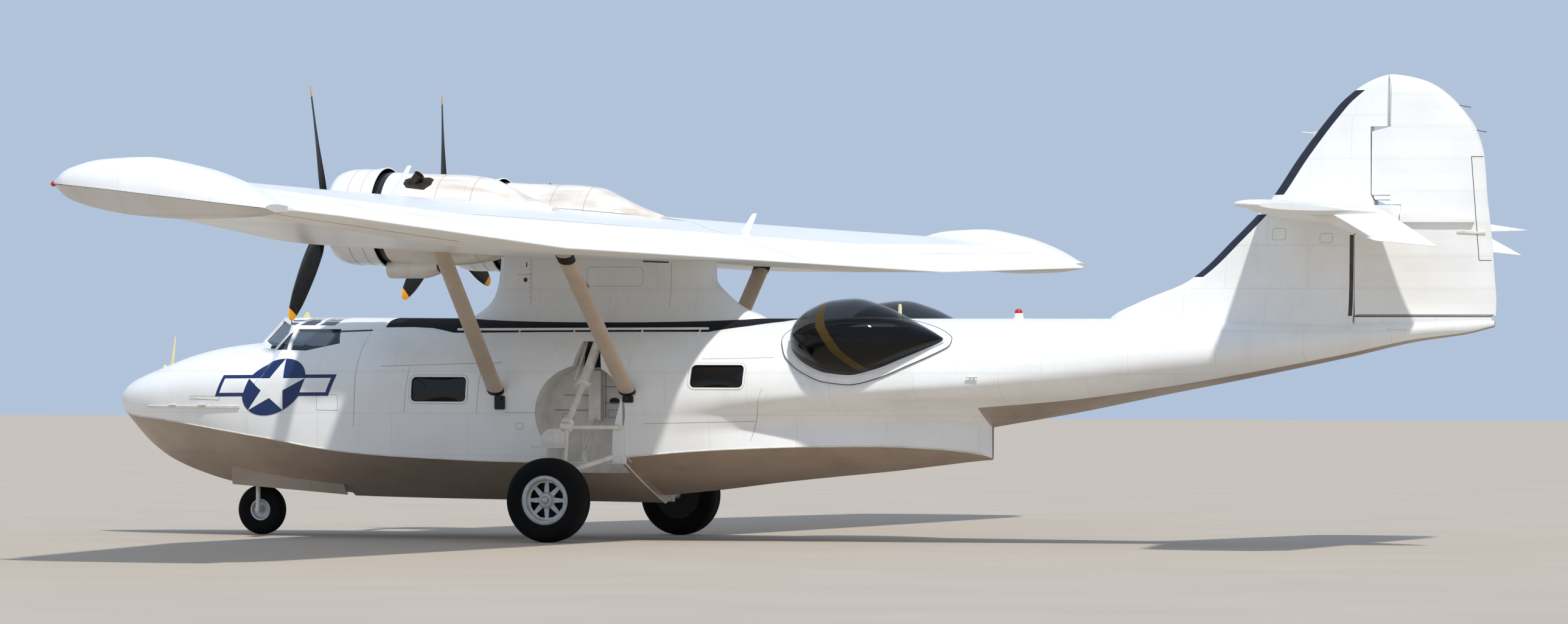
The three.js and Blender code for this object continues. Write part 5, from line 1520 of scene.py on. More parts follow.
def blade_body():
    rings = []
    for radius in spaced(90, 1700, 26) + [1720, 1745, 1768, 1790, 1806, 1818, 1826, BLADE_TIP]:
        chord, thickness, pitch = fair(BLADE_ROWS, radius)
        c, s = math.cos(math.radians(pitch)), math.sin(math.radians(pitch))
        ring = []
        for t in turns(24):
            along = chord / 2 * math.cos(t)
            through = thickness / 2 * math.sin(t) * (1 if radius < 300 else 1 + 0.35 * math.cos(t))
            ring.append((through * c - along * s, along * c + through * s, radius))
        rings.append(ring)
    bm = lofted(rings)
    for face in bm.faces:
        face.material_index = int(face.calc_center_median().z > BLADE_TIP - TIP_PAINT)
    return bm


def propeller_body(side_name, side):
    centre = Vector((ENGINE["prop_x"], ENGINE["y"] * side, ENGINE["z"]))
    shapes = [spun(HUB_PROFILE, centre, "x", 48)]
    for i in range(3):
        blade = blade_body()
        collar = spun(COLLAR_PROFILE, (0, 0, 0), "z", 28)
        angle = 2 * math.pi * i / 3 + PROP_REST[side_name]
        turn = Matrix.Translation(centre) @ Matrix.Rotation(angle, 4, "X")
        for shape in (blade, collar):
            bmesh.ops.transform(shape, matrix=turn, verts=shape.verts)
            shapes.append(shape)
    return gathered(shapes)


for side_name, side in SIDES.items():
    prop = propeller_body(side_name, side)
    piece(f"propeller_blades_{side_name}", prop, f"propeller_{side_name}",
          (f"propeller_{side_name}",), materials=(BLADE_BLACK, YELLOW), crease=40)
print("propellers made")

# %% [markdown]
# The fin grows out of the deck in one sweep, and the rudder behind it turns on a stepped hinge line. Both
# are cut from one loft, so that their sides run on from each other.

# %% Fin and rudder lines
# Columns: height, front x, back x, half thickness
FIN_ROWS = [
    [2800, 14200, 19440, 330], [2985, 14300, 19450, 250], [3200, 14720, 19460, 190],
    [3460, 15350, 19440, 160], [4000, 15960, 19400, 145], [4530, 16470, 19340, 130],
    [5040, 16820, 19300, 118], [5420, 17105, 19190, 104], [5600, 17252, 19070, 95], [5760, 17390, 18935, 84],
    [5860, 17502, 18830, 74], [5965, 17640, 18690, 60], [6035, 17760, 18555, 46], [6090, 17890, 18375, 32],
    [6115, 17975, 18250, 20], [6130, 18040, 18130, 12],
]
RUDDER_X = 18090
RUDDER_SPLIT = [(18050, 6300), (18050, 5440), (17840, 5390), (17840, 4580), (17890, 4505), (18030, 4448),
                (18030, 4060), (17620, 4060), (17620, 3005)]
FIN_OUTLINE = [(18036, 6300), (18036, 5408), (17840, 5360), (17840, 4550), (17870, 4490), (17870, 4060),
               (17620, 4050), (17620, 2000), (13000, 2000), (13000, 6300)]
# Columns: lowest and highest height, reach ahead of the hinge
SWEEP = [(2000, 4068, 500), (4440, 4500, 215), (4500, 4560, 260), (4560, 5455, 290), (5455, 6300, 53)]
SWEEP_GAP = 8
STUB = {"fore": 17300, "full": 17860, "half": 180, "low": 4072, "high": 4432}
# Wedges on the rudder. Columns: station, half breadth, bottom, top
WEDGE_ROWS = [[18230, 180, 4212, 4356], [18700, 150, 4210, 4300], [19180, 100, 4208, 4240]]
# The boot on the leading edge: its width, the heights that it runs between, and the gap in it
BOOT_WIDTH = 145
BOOT_SPAN = (3520, 5925)
BOOT_BREAK = (4335, 4560)
# Room for cutting: half breadth, top and back
CUT = {"half": 800, "top": 6300, "aft": 20000}


def stub_parts(grow, material):
    """The fixed stub between the two parts of the rudder's nose: a wedge in plan and a round post."""
    half, low, high = STUB["half"], STUB["low"] - grow, STUB["high"] + grow
    plan = [(STUB["fore"], 40), (STUB["full"], half), (RUDDER_X, half)]
    plan += [(x, -y) for x, y in reversed(plan)]
    post = rod((RUDDER_X, 0, low), (RUDDER_X, 0, high), half + grow, 72)
    return [work(prism(plan, low, high, "z"), material), work(post, material)]


def wedge_body():
    rings = []
    for x in spaced(WEDGE_ROWS[0][0], WEDGE_ROWS[-1][0], 8):
        half, low, high = fair(WEDGE_ROWS, x)
        rings.append([(x, y, z) for y, z in ((-half, low), (half, low), (half, high), (-half, high))])
    return lofted(rings)


def fin_share(t):
    """Share of the full half thickness at a share t of the chord."""
    return min(2.6 * math.sqrt(t) * (1 - t) ** 0.8, 1)


def upright_body():
    heights = spaced(2800, 5850, 60) + spaced(5850, 6090, 12)[1:] + spaced(6090, 6130, 8)[1:]
    rings = []
    for z in heights:
        front, back, half = fair(FIN_ROWS, z)
        # The first places back from the edge are fixed, so that the boot is equally wide all the way
        edge = min(BOOT_WIDTH / (back - front), 0.5)
        spread = [edge * k for k in (0, 0.05, 0.22, 0.55, 1)]
        spread += [edge + (1 - edge) * (1 - math.cos(math.pi * i / 18)) / 2 for i in range(1, 19)]
        side = []
        for t in spread:
            side.append((front + t * (back - front), max(half * fin_share(t), 8 if t == 1 else 0), z))
        rings.append(side + [(x, -y, z) for x, y, z in reversed(side[1:])])
    count = len(rings[0])
    bands = [int(j < 4 or j > count - 5) for j in range(count)]
    bm = lofted(rings, bands)
    for face in bm.faces:
        height = face.calc_center_median().z
        if not (BOOT_SPAN[0] < height < BOOT_SPAN[1]) or BOOT_BREAK[0] < height < BOOT_BREAK[1]:
            face.material_index = 0
    return bm


def sweep_rods(shrink):
    """Round noses about the hinge. The rudder's own are thinner and shorter than the fin's hollows."""
    ends = shrink / 2
    return [rod((RUDDER_X, 0, low + ends), (RUDDER_X, 0, high - ends), reach - shrink, 96)
            for low, high, reach in SWEEP]


print("fin and rudder set out")

# %% [markdown]
# The fin keeps what lies ahead of the hinge line, less the round hollows that the rudder's nose turns in.
# The rudder keeps the rest, with round noses a little thinner than the hollows.

# %% Fin and rudder bodies
fin = work(upright_body(), WHITE, BOOT)
keep(fin, work(prism(FIN_OUTLINE, -CUT["half"], CUT["half"]), WHITE))
cut(fin, twin(outer_solid), *[work(bm, WHITE) for bm in sweep_rods(0)])
join(fin, *stub_parts(0, WHITE))
fin_tree = solid_tree(fin)
piece("fin_skin", fin, replaces=("fin",))
rudder = work(upright_body(), FABRIC_UPRIGHT)
rudder_outline = RUDDER_SPLIT + [(CUT["aft"], RUDDER_SPLIT[-1][1]), (CUT["aft"], CUT["top"])]
keep(rudder, work(prism(rudder_outline, -CUT["half"], CUT["half"]), FABRIC_UPRIGHT))
turning = work(block((RUDDER_X, -CUT["half"], 2000), (CUT["aft"], CUT["half"], CUT["top"])), FABRIC_UPRIGHT)
join(turning, *[work(bm, FABRIC_UPRIGHT) for bm in sweep_rods(SWEEP_GAP)])
keep(rudder, turning)
join(rudder, work(wedge_body(), FABRIC_UPRIGHT))
stub_low, stub_high = STUB["low"] - SWEEP_GAP, STUB["high"] + SWEEP_GAP
stub_room = work(block((17000, -400, stub_low), (RUDDER_X, 400, stub_high)), FABRIC_UPRIGHT)
cut(rudder, stub_room, *stub_parts(SWEEP_GAP, FABRIC_UPRIGHT))
rudder_tree = solid_tree(rudder)
piece("rudder_fabric", rudder, "rudder", ("rudder",))
print("fin and rudder made")

# %% [markdown]
# The tailplane is metal and the elevators behind it are fabric. At rest the elevators hang down, as they
# do when the controls are left free.

# %% Tailplane and elevators
# Columns as the wing's
TAILPLANE_ROWS = [
    [0, 16350, 4400, 18930, 4212, 0.1],
    [4060, 17107, 4335, 18960, 4214, 0.09],
    [4400, 17170, 4330, 18860, 4222, 0.088],
    [4650, 17560, 4305, 18700, 4232, 0.07],
]
ELEVATOR = {"ends": ((18000, 260, 4278), (18000, 3840, 4278)), "radii": (87, 73), "trail": (640, 4060)}
BEHIND_TRAIL = 19100
DROOP = math.radians(21)
TAIL_WHITE = enamel("tailplane enamel", "#f4f4f2", "#ebeae5", "#a1988a", axes=("Y", "X"), sheet=(0.9, 0.55))


def tailplane_body(side):
    bend, end = [row[0] for row in TAILPLANE_ROWS[-2:]]
    ys = spaced(20, bend, 30) + spaced(bend, end, 8)[1:]
    return mirrored(lofted([section(y, *straight(TAILPLANE_ROWS, y), camber=0) for y in ys]), side)


def elevator_plan(gap):
    (x, inner, _), (_, outer_y, _) = ELEVATOR["ends"]
    in_trail, out_trail = ELEVATOR["trail"]
    return [(x, inner + gap), (BEHIND_TRAIL, in_trail + 130 + gap), (BEHIND_TRAIL, out_trail + 100 - gap),
            (x, outer_y - gap)]


for side_name, side in SIDES.items():
    ends, radii = ELEVATOR["ends"], ELEVATOR["radii"]
    x, inner, z = ends[0]
    tail = work(tailplane_body(side), TAIL_WHITE)
    holes = [prism(elevator_plan(0), 3000, 6000, "z"), hinge_nose(ends, radii, 0, COVE),
             hinge_pin(ends, True, GAP, PIN["clearance"]), block((x - 90, -900, 3000), (20000, 900, 6000))]
    cut(tail, *[work(mirrored(hole, side), TAIL_WHITE) for hole in holes])
    cut(tail, work(from_node("fin"), TAIL_WHITE))
    piece(f"tailplane_skin_{side_name}", tail, replaces=(f"tailplane_{side_name}",))
    zone_plan = mirrored(prism(elevator_plan(GAP), 3000, 6000, "z"), side)
    elevator = part_of(tailplane_body(side), zone_plan, FABRIC)
    join(elevator, work(mirrored(hinge_nose(ends, radii, GAP), side), FABRIC),
            work(mirrored(hinge_pin(ends, True, GAP), side), FABRIC))
    hang = Matrix.Translation((x, 0, z)) @ Matrix.Rotation(DROOP, 4, "Y") @ Matrix.Translation((-x, 0, -z))
    elevator.data.transform(hang)
    piece(f"elevator_fabric_{side_name}", elevator, f"elevator_{side_name}",
          (f"elevator_{side_name}",))
print("tail made")

# %% [markdown]
# The wheels are cast, with eight openings that cool the brake behind them, and smooth tyres with three
# grooves. A wheel and its tyre are turned, and the openings are cut out of the web.

# %% Wheels and tyres
MAIN_WHEEL = {"x": 7350, "y": 2490, "radius": 555, "half": 195, "rim": 325}
NOSE_WHEEL = {"x": 2120, "y": 0, "radius": 340, "half": 100, "rim": 150}
OPENINGS = 8
GROOVE = 9
RIM_BOLTS = {"count": 16, "radius": 298}


def tyre_outline(wheel):
    r, half, rim = wheel["radius"], wheel["half"], wheel["rim"]
    wall = r - rim
    floor = r - GROOVE
    bow = [(rim, 0.72), (rim + 0.04 * wall, 0.79), (rim + 0.2 * wall, 0.92), (rim + 0.42 * wall, 0.995),
           (rim + 0.62 * wall, 0.985), (rim + 0.8 * wall, 0.88), (rim + 0.92 * wall, 0.68),
           (r - 0.012 * wall, 0.5), (r, 0.36), (r, 0.22), (floor, 0.205), (floor, 0.17), (r, 0.155),
           (r, 0.03), (floor, 0.018)]
    side = [(radius, -half * share) for radius, share in bow]
    return side + [(radius, -along) for radius, along in reversed(side)]


def web_openings(wheel, inner, outer_r, narrow, wide):
    """Cutters for the openings, each a wedge with rounded sides."""
    cutters = []
    for i in range(OPENINGS):
        middle = 2 * math.pi * (i + 0.5) / OPENINGS
        shoulder = (inner + 0.35 * (outer_r - inner), 0.5 * (narrow + wide))
        corners = ((inner, narrow), shoulder, (outer_r, wide))
        outline = [(radius, middle - spread) for radius, spread in corners]
        outline.append((outer_r + 8, middle))
        outline += [(radius, 2 * middle - turn) for radius, turn in reversed(outline[:3])]
        points = [(wheel["x"] + radius * math.cos(turn), wheel["radius"] + radius * math.sin(turn))
                  for radius, turn in outline]
        low, high = sorted((wheel["y"] - 300, wheel["y"] + 300))
        cutters.append(prism(points, low, high))
    return cutters


def main_rim(side):
    centre = (MAIN_WHEEL["x"], MAIN_WHEEL["y"], MAIN_WHEEL["radius"])
    outline = [
        (46.2, -80), (46.2, 112), (58, 122), (84, 118), (96, 86), (112, 70), (236, 62), (258, 72), (268, 100),
        (272, 132), (284, 140), (318, 140), (325, 136), (325, -139), (306, -139), (298, -60), (262, 30),
        (236, 40), (104, 46), (90, 30), (86, -80),
    ]
    rim = work(spun(outline, centre, "y", 96), ALLOY)
    cut(rim, *[work(bm, ALLOY) for bm in web_openings(MAIN_WHEEL, 112, 232, 0.1, 0.29)])
    bolts = []
    for turn in turns(RIM_BOLTS["count"]):
        x = centre[0] + RIM_BOLTS["radius"] * math.cos(turn)
        z = centre[2] + RIM_BOLTS["radius"] * math.sin(turn)
        bolts.append(rod((x, centre[1] + 136, z), (x, centre[1] + 147, z), 9, 6))
    cap = spun([(0, 108), (40, 108), (42, 128), (34, 142), (16, 149), (0, 150)], centre, "y", 36)
    rim_bm = bmesh.new()
    rim_bm.from_mesh(rim.data)
    bpy.data.objects.remove(rim)
    return mirrored(gathered([rim_bm, cap] + bolts), side)


def brake_drum(side):
    centre = (MAIN_WHEEL["x"], MAIN_WHEEL["y"], MAIN_WHEEL["radius"])
    outline = [(64, -84), (286, -84), (294, -64), (250, 8), (240, 8), (238, -70), (64, -70)]
    face = [(64, -143), (324, -143), (324, -140), (304, -138), (304, -92), (64, -92)]
    return mirrored(gathered([spun(outline, centre, "y", 72), spun(face, centre, "y", 72)]), side)


for side_name, side in SIDES.items():
    centre = (MAIN_WHEEL["x"], MAIN_WHEEL["y"] * side, MAIN_WHEEL["radius"])
    body = f"main_wheel_{side_name}"
    piece(f"tyre_tread_main_{side_name}", spun(tyre_outline(MAIN_WHEEL), centre, "y", 120), body,
          (f"tyre_main_{side_name}",), materials=(RUBBER,), crease=40)
    piece(f"wheel_rim_main_{side_name}", main_rim(side), body, (f"wheel_main_{side_name}",),
          materials=(ALLOY,), bevel=3)
    piece(f"brake_drum_{side_name}", brake_drum(side), body, materials=(DRUM,))
nose_centre = (NOSE_WHEEL["x"], 0, NOSE_WHEEL["radius"])
piece("tyre_tread_nose", spun(tyre_outline(NOSE_WHEEL), nose_centre, "y", 96), "nose_wheel",
      ("tyre_nose",), materials=(RUBBER,), crease=40)
half_rim = [(31.2, 44), (50, 46), (58, 26), (108, 20), (122, 34), (128, 66), (146, 71)]
nose_rim = half_rim + [(150, 68), (150, -68)] + [(radius, -along) for radius, along in reversed(half_rim)]
piece("wheel_rim_nose", spun(nose_rim, nose_centre, "y", 72), "nose_wheel", ("wheel_nose",),
      materials=(ALLOY,), bevel=2)
print("wheels made")

# %% [markdown]
# The legs are welded tube and forgings, and their shape is simple enough that the CAD's own solids are
# right. They are copied and their edges are rounded. Pins and collars follow with the well's fittings.

# %% Legs and doors
for side_name, side in SIDES.items():
    piece(f"main_gear_{side_name}", from_node(f"main_leg_{side_name}"),
          replaces=(f"main_leg_{side_name}",), materials=(GEAR_WHITE,), bevel=4)
    piece(f"nose_door_plate_{side_name}", from_node(f"nose_door_{side_name}"),
          replaces=(f"nose_door_{side_name}",), materials=(BOTTOM_PAINTED_SHADE,), bevel=4)
piece("nose_gear_leg", from_node("nose_leg"), "nose_gear", ("nose_leg",),
      materials=(GEAR_WHITE,), bevel=3)
bpy.data.objects.remove(outer_solid)
print("legs and doors made")

# %% [markdown]
# The top of the hull behind the cockpit is a walkway, painted with black non-slip paint in one band from
# the cockpit roof to the blisters. It is narrower where the pylon's foot fairing begins.

# %% Deck band
ABOVE_DECK = 3200
# Columns: station, half breadth
DECK_BAND = [(4218, 0), (4240, 500), (4290, 780), (4700, 770), (4990, 800), (5350, 935), (5800, 930),
             (6820, 912), (8000, 900), (8990, 890), (9506, 690), (9905, 470), (10090, 220), (10120, 0)]
band = bmesh.new()
band_outline = [(x, y, ABOVE_DECK) for x, y in DECK_BAND]
band_outline += [(x, -y, ABOVE_DECK) for x, y in reversed(DECK_BAND[1:-1])]
decal(band, hull_tree, band_outline, DOWN, 2.5, pitch=90)
marks("deck_band", band, DECK_BLACK)
print("deck band laid")

# %% [markdown]
# The national marking is a white star in a blue disc with a white bar on each side, edged in blue. It is
# set out in radii of the disc and laid along the bow's side, where it leans with the side's own slant.

# %% Star and bars
STAR_CENTRE = (2882, 2026)
STAR_ALONG = (470, 4)
STAR_UP = (150, 385)
STAR_WAIST = 0.382
# In radii of the disc: where each bar begins and ends, its heights, and the same for the white within
BAR = {"from": 0.85, "to": 1.92, "low": -0.315, "high": 0.435}
WHITE_BAR = {"from": 0.95, "to": 1.92 - 0.125, "low": -0.19, "high": 0.31}


def laid_out(points, side):
    cx, cz = STAR_CENTRE
    return [(cx + u * STAR_ALONG[0] + v * STAR_UP[0], BESIDE * side, cz + u * STAR_ALONG[1] + v * STAR_UP[1])
            for u, v in points]


def bars(sizes):
    """The bar ahead of the disc and the one behind it."""
    fore, aft, low, high = sizes["from"], sizes["to"], sizes["low"], sizes["high"]
    return rectangle((-aft, low), (-fore, high)), rectangle((fore, low), (aft, high))


disc = ellipse(1, 1, 0, 0, 64)
star = []
for k in range(10):
    turn, reach = math.pi / 2 + math.pi * k / 5, (1, STAR_WAIST)[k % 2]
    star.append((reach * math.cos(turn), reach * math.sin(turn)))
for side_name, side in SIDES.items():
    sign = bmesh.new()
    toward = inward(side)
    decal(sign, hull_tree, laid_out(disc, side), toward, 5, 0, 20)
    for outline in bars(BAR):
        decal(sign, hull_tree, laid_out(outline, side), toward, 3.5, 0, 30)
    for outline in bars(WHITE_BAR):
        decal(sign, hull_tree, laid_out(outline, side), toward, 6, 1, 30)
    decal(sign, hull_tree, laid_out(star, side), toward, 8, 1, 20)
    marks(f"star_and_bars_{side_name}", sign, NAVY, MARK_WHITE)
print("insignia laid")

# %% [markdown]
# Through the cockpit glass two seats and the instrument hood show as dark shapes, with a wheel in front of
# each seat. The roof has tinted panes in its shoulders as well.

# %% Cockpit
SEAT = {"x": 3360, "y": 380, "pan": 2150}
SHOULDER_PANES = [
    [(2729, 2944), (2960, 2944), (2884, 2872), (2771, 2880)],
    [(3010, 2924), (3234, 2921), (3198, 2872), (2966, 2874)],
    [(3299, 2921), (3522, 2916), (3495, 2870), (3268, 2871)],
]
# The hand wheel: its place, how far forward its column reaches, and its rim's section
HAND_WHEEL = {"x": 2930, "z": 2440, "column_end": 2800, "spoke": 150}
HAND_RIM = [(150, -12), (160, -14), (170, -12), (174, 0), (170, 12), (160, 14), (150, 12), (146, 0)]
CUSHION = [(3060, 2130), (3400, 2110), (3400, 2180), (3050, 2200)]
HOOD = [(2520, 2300), (2760, 2300), (2800, 2560), (2740, 2600), (2560, 2590)]
shapes = []
for side in SIDES.values():
    y = SEAT["y"] * side
    x, pan = SEAT["x"], SEAT["pan"]
    back = [(x, pan), (x + 90, pan - 30), (x + 210, 2700), (x + 190, 2760), (x + 120, 2750)]
    shapes.append(prism(back, y - 230, y + 230))
    shapes.append(prism(CUSHION, y - 240, y + 240))
    x, z, spoke = HAND_WHEEL["x"], HAND_WHEEL["z"], HAND_WHEEL["spoke"]
    shapes.append(spun(HAND_RIM, (x, y, z), "x", 40))
    shapes.append(rod((x, y, z), (HAND_WHEEL["column_end"], y, z), 24))
    shapes.append(rod((x, y - spoke, z), (x, y + spoke, z), 14))
shapes.append(prism(HOOD, -720, 720))
piece("cockpit_seats", gathered(shapes), materials=(INSIDE_PAINTED_SHADE,), bevel=14)
for side_name, side in SIDES.items():
    tinted = bmesh.new()
    for outline in SHOULDER_PANES:
        decal(tinted, hull_tree, on_side(outline, side), inward(side), 2.5)
    marks(f"roof_panes_{side_name}", tinted, ROOF_GLASS, slot="glazing")
print("cockpit fitted")

# %% [markdown]
# Streamlined masts stand on the wing and on the nose, beside a short pitot post. Each is a tapered blade,
# lofted from foot to tip. On the deck are an aerial fin, the foot of a whip aerial and a beacon.

# %% Masts and aerials
# Columns: foot x, y, z, tip x, y, z, chord at the foot, chord at the tip
WING_POSTS = [[5330, -3200, 4380, 5650, -3200, 4940, 130, 70], [7830, 3700, 4200, 7990, 3700, 4495, 150, 70]]
BEACON_FOOT = (13028, 0, 2968)
NOSE_POSTS = [[724, 0, 2250, 788, 0, 2724, 60, 20], [762, -300, 2060, 767, -300, 2328, 54, 62]]


def mast(row):
    foot, tip, (wide, narrow) = Vector(row[:3]), Vector(row[3:6]), row[6:]
    rings = []
    for t in spaced(0, 1, 8) + [1.004]:
        middle = foot.lerp(tip, min(t, 1))
        chord = (wide + (narrow - wide) * min(t, 1)) * (1 if t < 1 else 0.9 if t == 1 else 0.5)
        rings.append([middle + Vector((chord / 2 * math.cos(a), 0.16 * chord * math.sin(a), 0))
                      for a in turns(24)])
    return lofted(rings)


piece("wing_masts", gathered([mast(row) for row in WING_POSTS]), materials=(WHITE,))
piece("nose_posts", gathered([mast(row) for row in NOSE_POSTS], [0, 1]), materials=(CREAM, GEAR_WHITE))
aerial_fin = prism([(2712, 2970), (2762, 3056), (2782, 3068), (2800, 3056), (2838, 2970)], -9, 9)
whip_foot = spun([(0, -10), (26, -10), (25, 150), (20, 196), (0, 199)], (11376, 0, 2965), "z", 24)
piece("deck_aerials", gathered([aerial_fin, whip_foot]), materials=(CREAM,), bevel=4)
lamp_base = spun([(0, 0), (70, 0), (70, 12), (62, 18), (62, 66), (56, 72), (0, 72)], BEACON_FOOT, "z", 40)
dome = spun([(0, 70), (50, 70), (52, 90), (44, 112), (26, 128), (0, 133)], BEACON_FOOT, "z", 40)
piece("beacon_lamp", gathered([lamp_base, dome], [0, 1]), materials=(MARK_WHITE, RED))
print("masts and aerials made")

# %% [markdown]
# A boat's fittings: hand rails along the deck on stanchions, mooring cleats, and a rubbing strake at the
# bow. The chine has a thin spray strip along it.

# %% Deck and bow fittings
RAIL = {"fore": (5394, 900, 2812), "aft": (8976, 846, 2826), "posts": (5520, 6300, 7081, 8052, 8867),
        "foot_y": 960}
STRAKE = {"ends": ((706, 1758), (2344, 1756)), "width": 24, "proud": 22}
CLEATS = ((1190, 1782), (1720, 1782))


def cleat(x, z, side, length, lift=26):
    """Horn cleat: a bar on two short feet."""
    shapes = []
    ends = [skin_point(x + d, z, side, -lift) for d in (-length / 2, length / 2)]
    shapes.append(tube([ends[0], ends[0].lerp(ends[1], 0.5), ends[1]], 11))
    for d in (-0.16, 0.16):
        foot = skin_point(x + d * length, z, side, 4)
        shapes.append(rod(foot, skin_point(x + d * length, z, side, -lift), 13, 14, 10))
    return gathered(shapes)


def chine_strip(side):
    shapes = []
    for run, low, high in (("fore", 150, 8056), ("waist", 8066, 12560)):
        path = []
        for x in spaced(low, high, 60):
            _, y, z = hull_half(x, run)[BOTTOM_STEPS]
            path.append((x, side * (y + 1), z))
        shapes.append(tube(path, 10, 8))
    step_edge = [(8056, side * (y + 1), z - 2) for _, y, z in hull_half(8056, "fore")[:BOTTOM_STEPS + 1]]
    shapes.append(tube(step_edge, 11, 8))
    return gathered(shapes)


for side_name, side in SIDES.items():
    fore, aft = [Vector((x, y * side, z)) for x, y, z in (RAIL["fore"], RAIL["aft"])]
    shapes = [tube([fore, fore.lerp(aft, 0.5), aft], 18)]
    for x in RAIL["posts"]:
        top = fore.lerp(aft, (x - fore.x) / (aft.x - fore.x))
        foot = cast(hull_tree, (x, RAIL["foot_y"] * side, ABOVE_DECK), DOWN)
        shapes.append(rod(foot + DOWN * 8, top, 13, 14, 9))
    piece(f"deck_rail_{side_name}", gathered(shapes), materials=(MARK_WHITE,))
    strake = bmesh.new()
    path = on_side(STRAKE["ends"], side)
    ribbon(strake, hull_tree, path, STRAKE["width"], inward(side), STRAKE["proud"], 50)
    marks(f"bow_strake_{side_name}", strake, GEAR_WHITE, thickness=STRAKE["proud"] + 2)
    shapes = [cleat(x, z, side, 140) for x, z in CLEATS] + [cleat(12755, 2187, side, 150, 34)]
    piece(f"cleats_{side_name}", gathered(shapes), materials=(GEAR_WHITE,))
    piece(f"chine_strip_{side_name}", chine_strip(side), materials=(GEAR_WHITE,))
print("deck and bow fittings made")

# %% [markdown]
# Joints that show on the hull's side: the edges of the plating round the forward window, the joint behind
# the cockpit, hatch outlines. Each window has a pressed frame, screwed on over the joint.

# %% Joints and window frames
HULL_JOINTS = [
    [(4480, 2313), (6240, 2365)], [(4915, 2305), (4873, 1695)], [(5966, 2242), (5928, 1691)],
    [(4135, 2800), (4130, 2260), (4140, 2000), (4120, 1500)], [(9060, 2420), (10050, 2440)],
    [(6320, 1700), (6850, 1700)], [(8300, 1560), (9800, 1600)], [(9940, 2040), (9700, 1340)],
    [(3560, 1720), (3905, 1712)], [(1500, 1870), (2000, 1845)],
]
HATCHES = [((3560, 1718), (3880, 1930)), ((6500, 1480), (6600, 1560)), ((1480, 1850), (2010, 1900))]
for side_name, side in SIDES.items():
    toward = inward(side)
    joints = bmesh.new()
    for path in HULL_JOINTS:
        ribbon(joints, hull_tree, on_side(path, side), 7, toward, 1.2, 50)
    for low, high in HATCHES:
        loop = on_side(looped(rounded(low, high, 22, 3)), side)
        ribbon(joints, hull_tree, loop, 6, toward, 1.2, 50)
    for place, (low, high) in WINDOWS.items():
        for spread, width, slot, lift in ((11, 24, 1, 5), (27, 6, 0, 1.2)):
            fore, aft = (low[0] - spread, low[1] - spread), (high[0] + spread, high[1] + spread)
            edge = looped(rounded(fore, aft, CORNER + spread, 5))
            ribbon(joints, hull_tree, on_side(edge, side), width, toward, lift, 50, slot)
    marks(f"hull_joints_{side_name}", joints, SOFT_SEAM, WHITE)
    rail = bmesh.new()
    ribbon(rail, hull_tree, on_side([(3660, 2782), (4130, 2800)], side), 12, toward, 9, 50)
    marks(f"hood_rail_{side_name}", rail, SEAM, thickness=10)
print("joints and window frames laid")

# %% [markdown]
# Struts end in dark steel fittings: a collar near each end, and at the foot a plate with a lug, bolted on the
# hull.

# %% Strut fittings
FOOT_PLATES = {"front": ((6200, 1740), (6342, 1925)), "rear": ((8022, 1838), (8168, 1930))}
# Collars near the strut's ends. Columns: start and end as shares of its length, growth, steps
COLLARS = ((0.045, 0.062, 4, 3), (0.955, 0.999, 7, 3))

for side_name, side in SIDES.items():
    for place, (foot, head) in STRUTS.items():
        low, high = FOOT_PLATES[place]
        middle = skin_point((low[0] + high[0]) / 2, (low[1] + high[1]) / 2, side).y * side
        plate = side_prism(rounded(low, high, 20, 4), side, middle - 30, middle + 34)
        lug = side_prism(ellipse(34, 30, (low[0] + high[0]) / 2, high[1] - 34), side, middle, middle + 60)
        shapes = [plate, lug] + [strut_body(foot, head, side, *collar) for collar in COLLARS]
        piece(f"strut_fittings_{place}_{side_name}", gathered(shapes), materials=(DRUM,),
              bevel=4)
print("strut fittings made")

# %% [markdown]
# The wheel well's inner wall is pressed sheet with stiffeners, an inspection hole and a hatch. Retraction
# struts run up into the slot beside the leg, and a small V of rods hangs below the trunk.

# %% Well fittings
WELL_RIBS = [((6985, 1936), (7375, 1932)), ((6850, 1736), (7375, 1732)), ((7560, 1830), (7785, 1826)),
             ((7576, 1640), (7576, 2240)), ((7560, 2050), (7800, 2050)), ((7100, 1500), (7375, 1498))]
WELL_HATCHES = (((7609, 1639), (7753, 1739)), ((6960, 1560), (7120, 1690)))
SLOT_SHADOW = [(7262, 2300), (7295, 2650), (7555, 2650), (7650, 2310)]
# Bars in the well. Columns: start, end, radius, sides, end radius where it tapers
WELL_BARS = [
    ((7304, 1010, 2640), (7290, 1400, 2117), 25, 20),
    ((7440, 1010, 2549), (7384, 1400, 2099), 18, 20),
    ((7480, 1142, 1640), (7369, 1300, 1199), 12, 20),
    ((7328, 1142, 1594), (7369, 1300, 1185), 10, 20),
    ((7521, 1142, 1595), (7434, 1300, 1199), 12, 20),
    ((7385, 1295, 1205), (7392, 1290, 1030), 34, 20, 48),
    ((7369, 1300, 1199), (7440, 1300, 1199), 15, 16),
]
# Profiles about the leg's own line. Columns: radius, place along it
LEG_COLLAR = [(0, -36), (78, -36), (86, -22), (86, 22), (78, 36), (0, 36)]
LEG_BAND = [(0, -10), (47, -10), (47, 10), (0, 10)]
EDGE_PLATE = [(7990, 1885), (7905, 1560), (7876, 1455), (7859, 1078), (7862, 1046), (8066, 1046),
              (8066, 1133), (8012, 1140), (8012, 1885)]


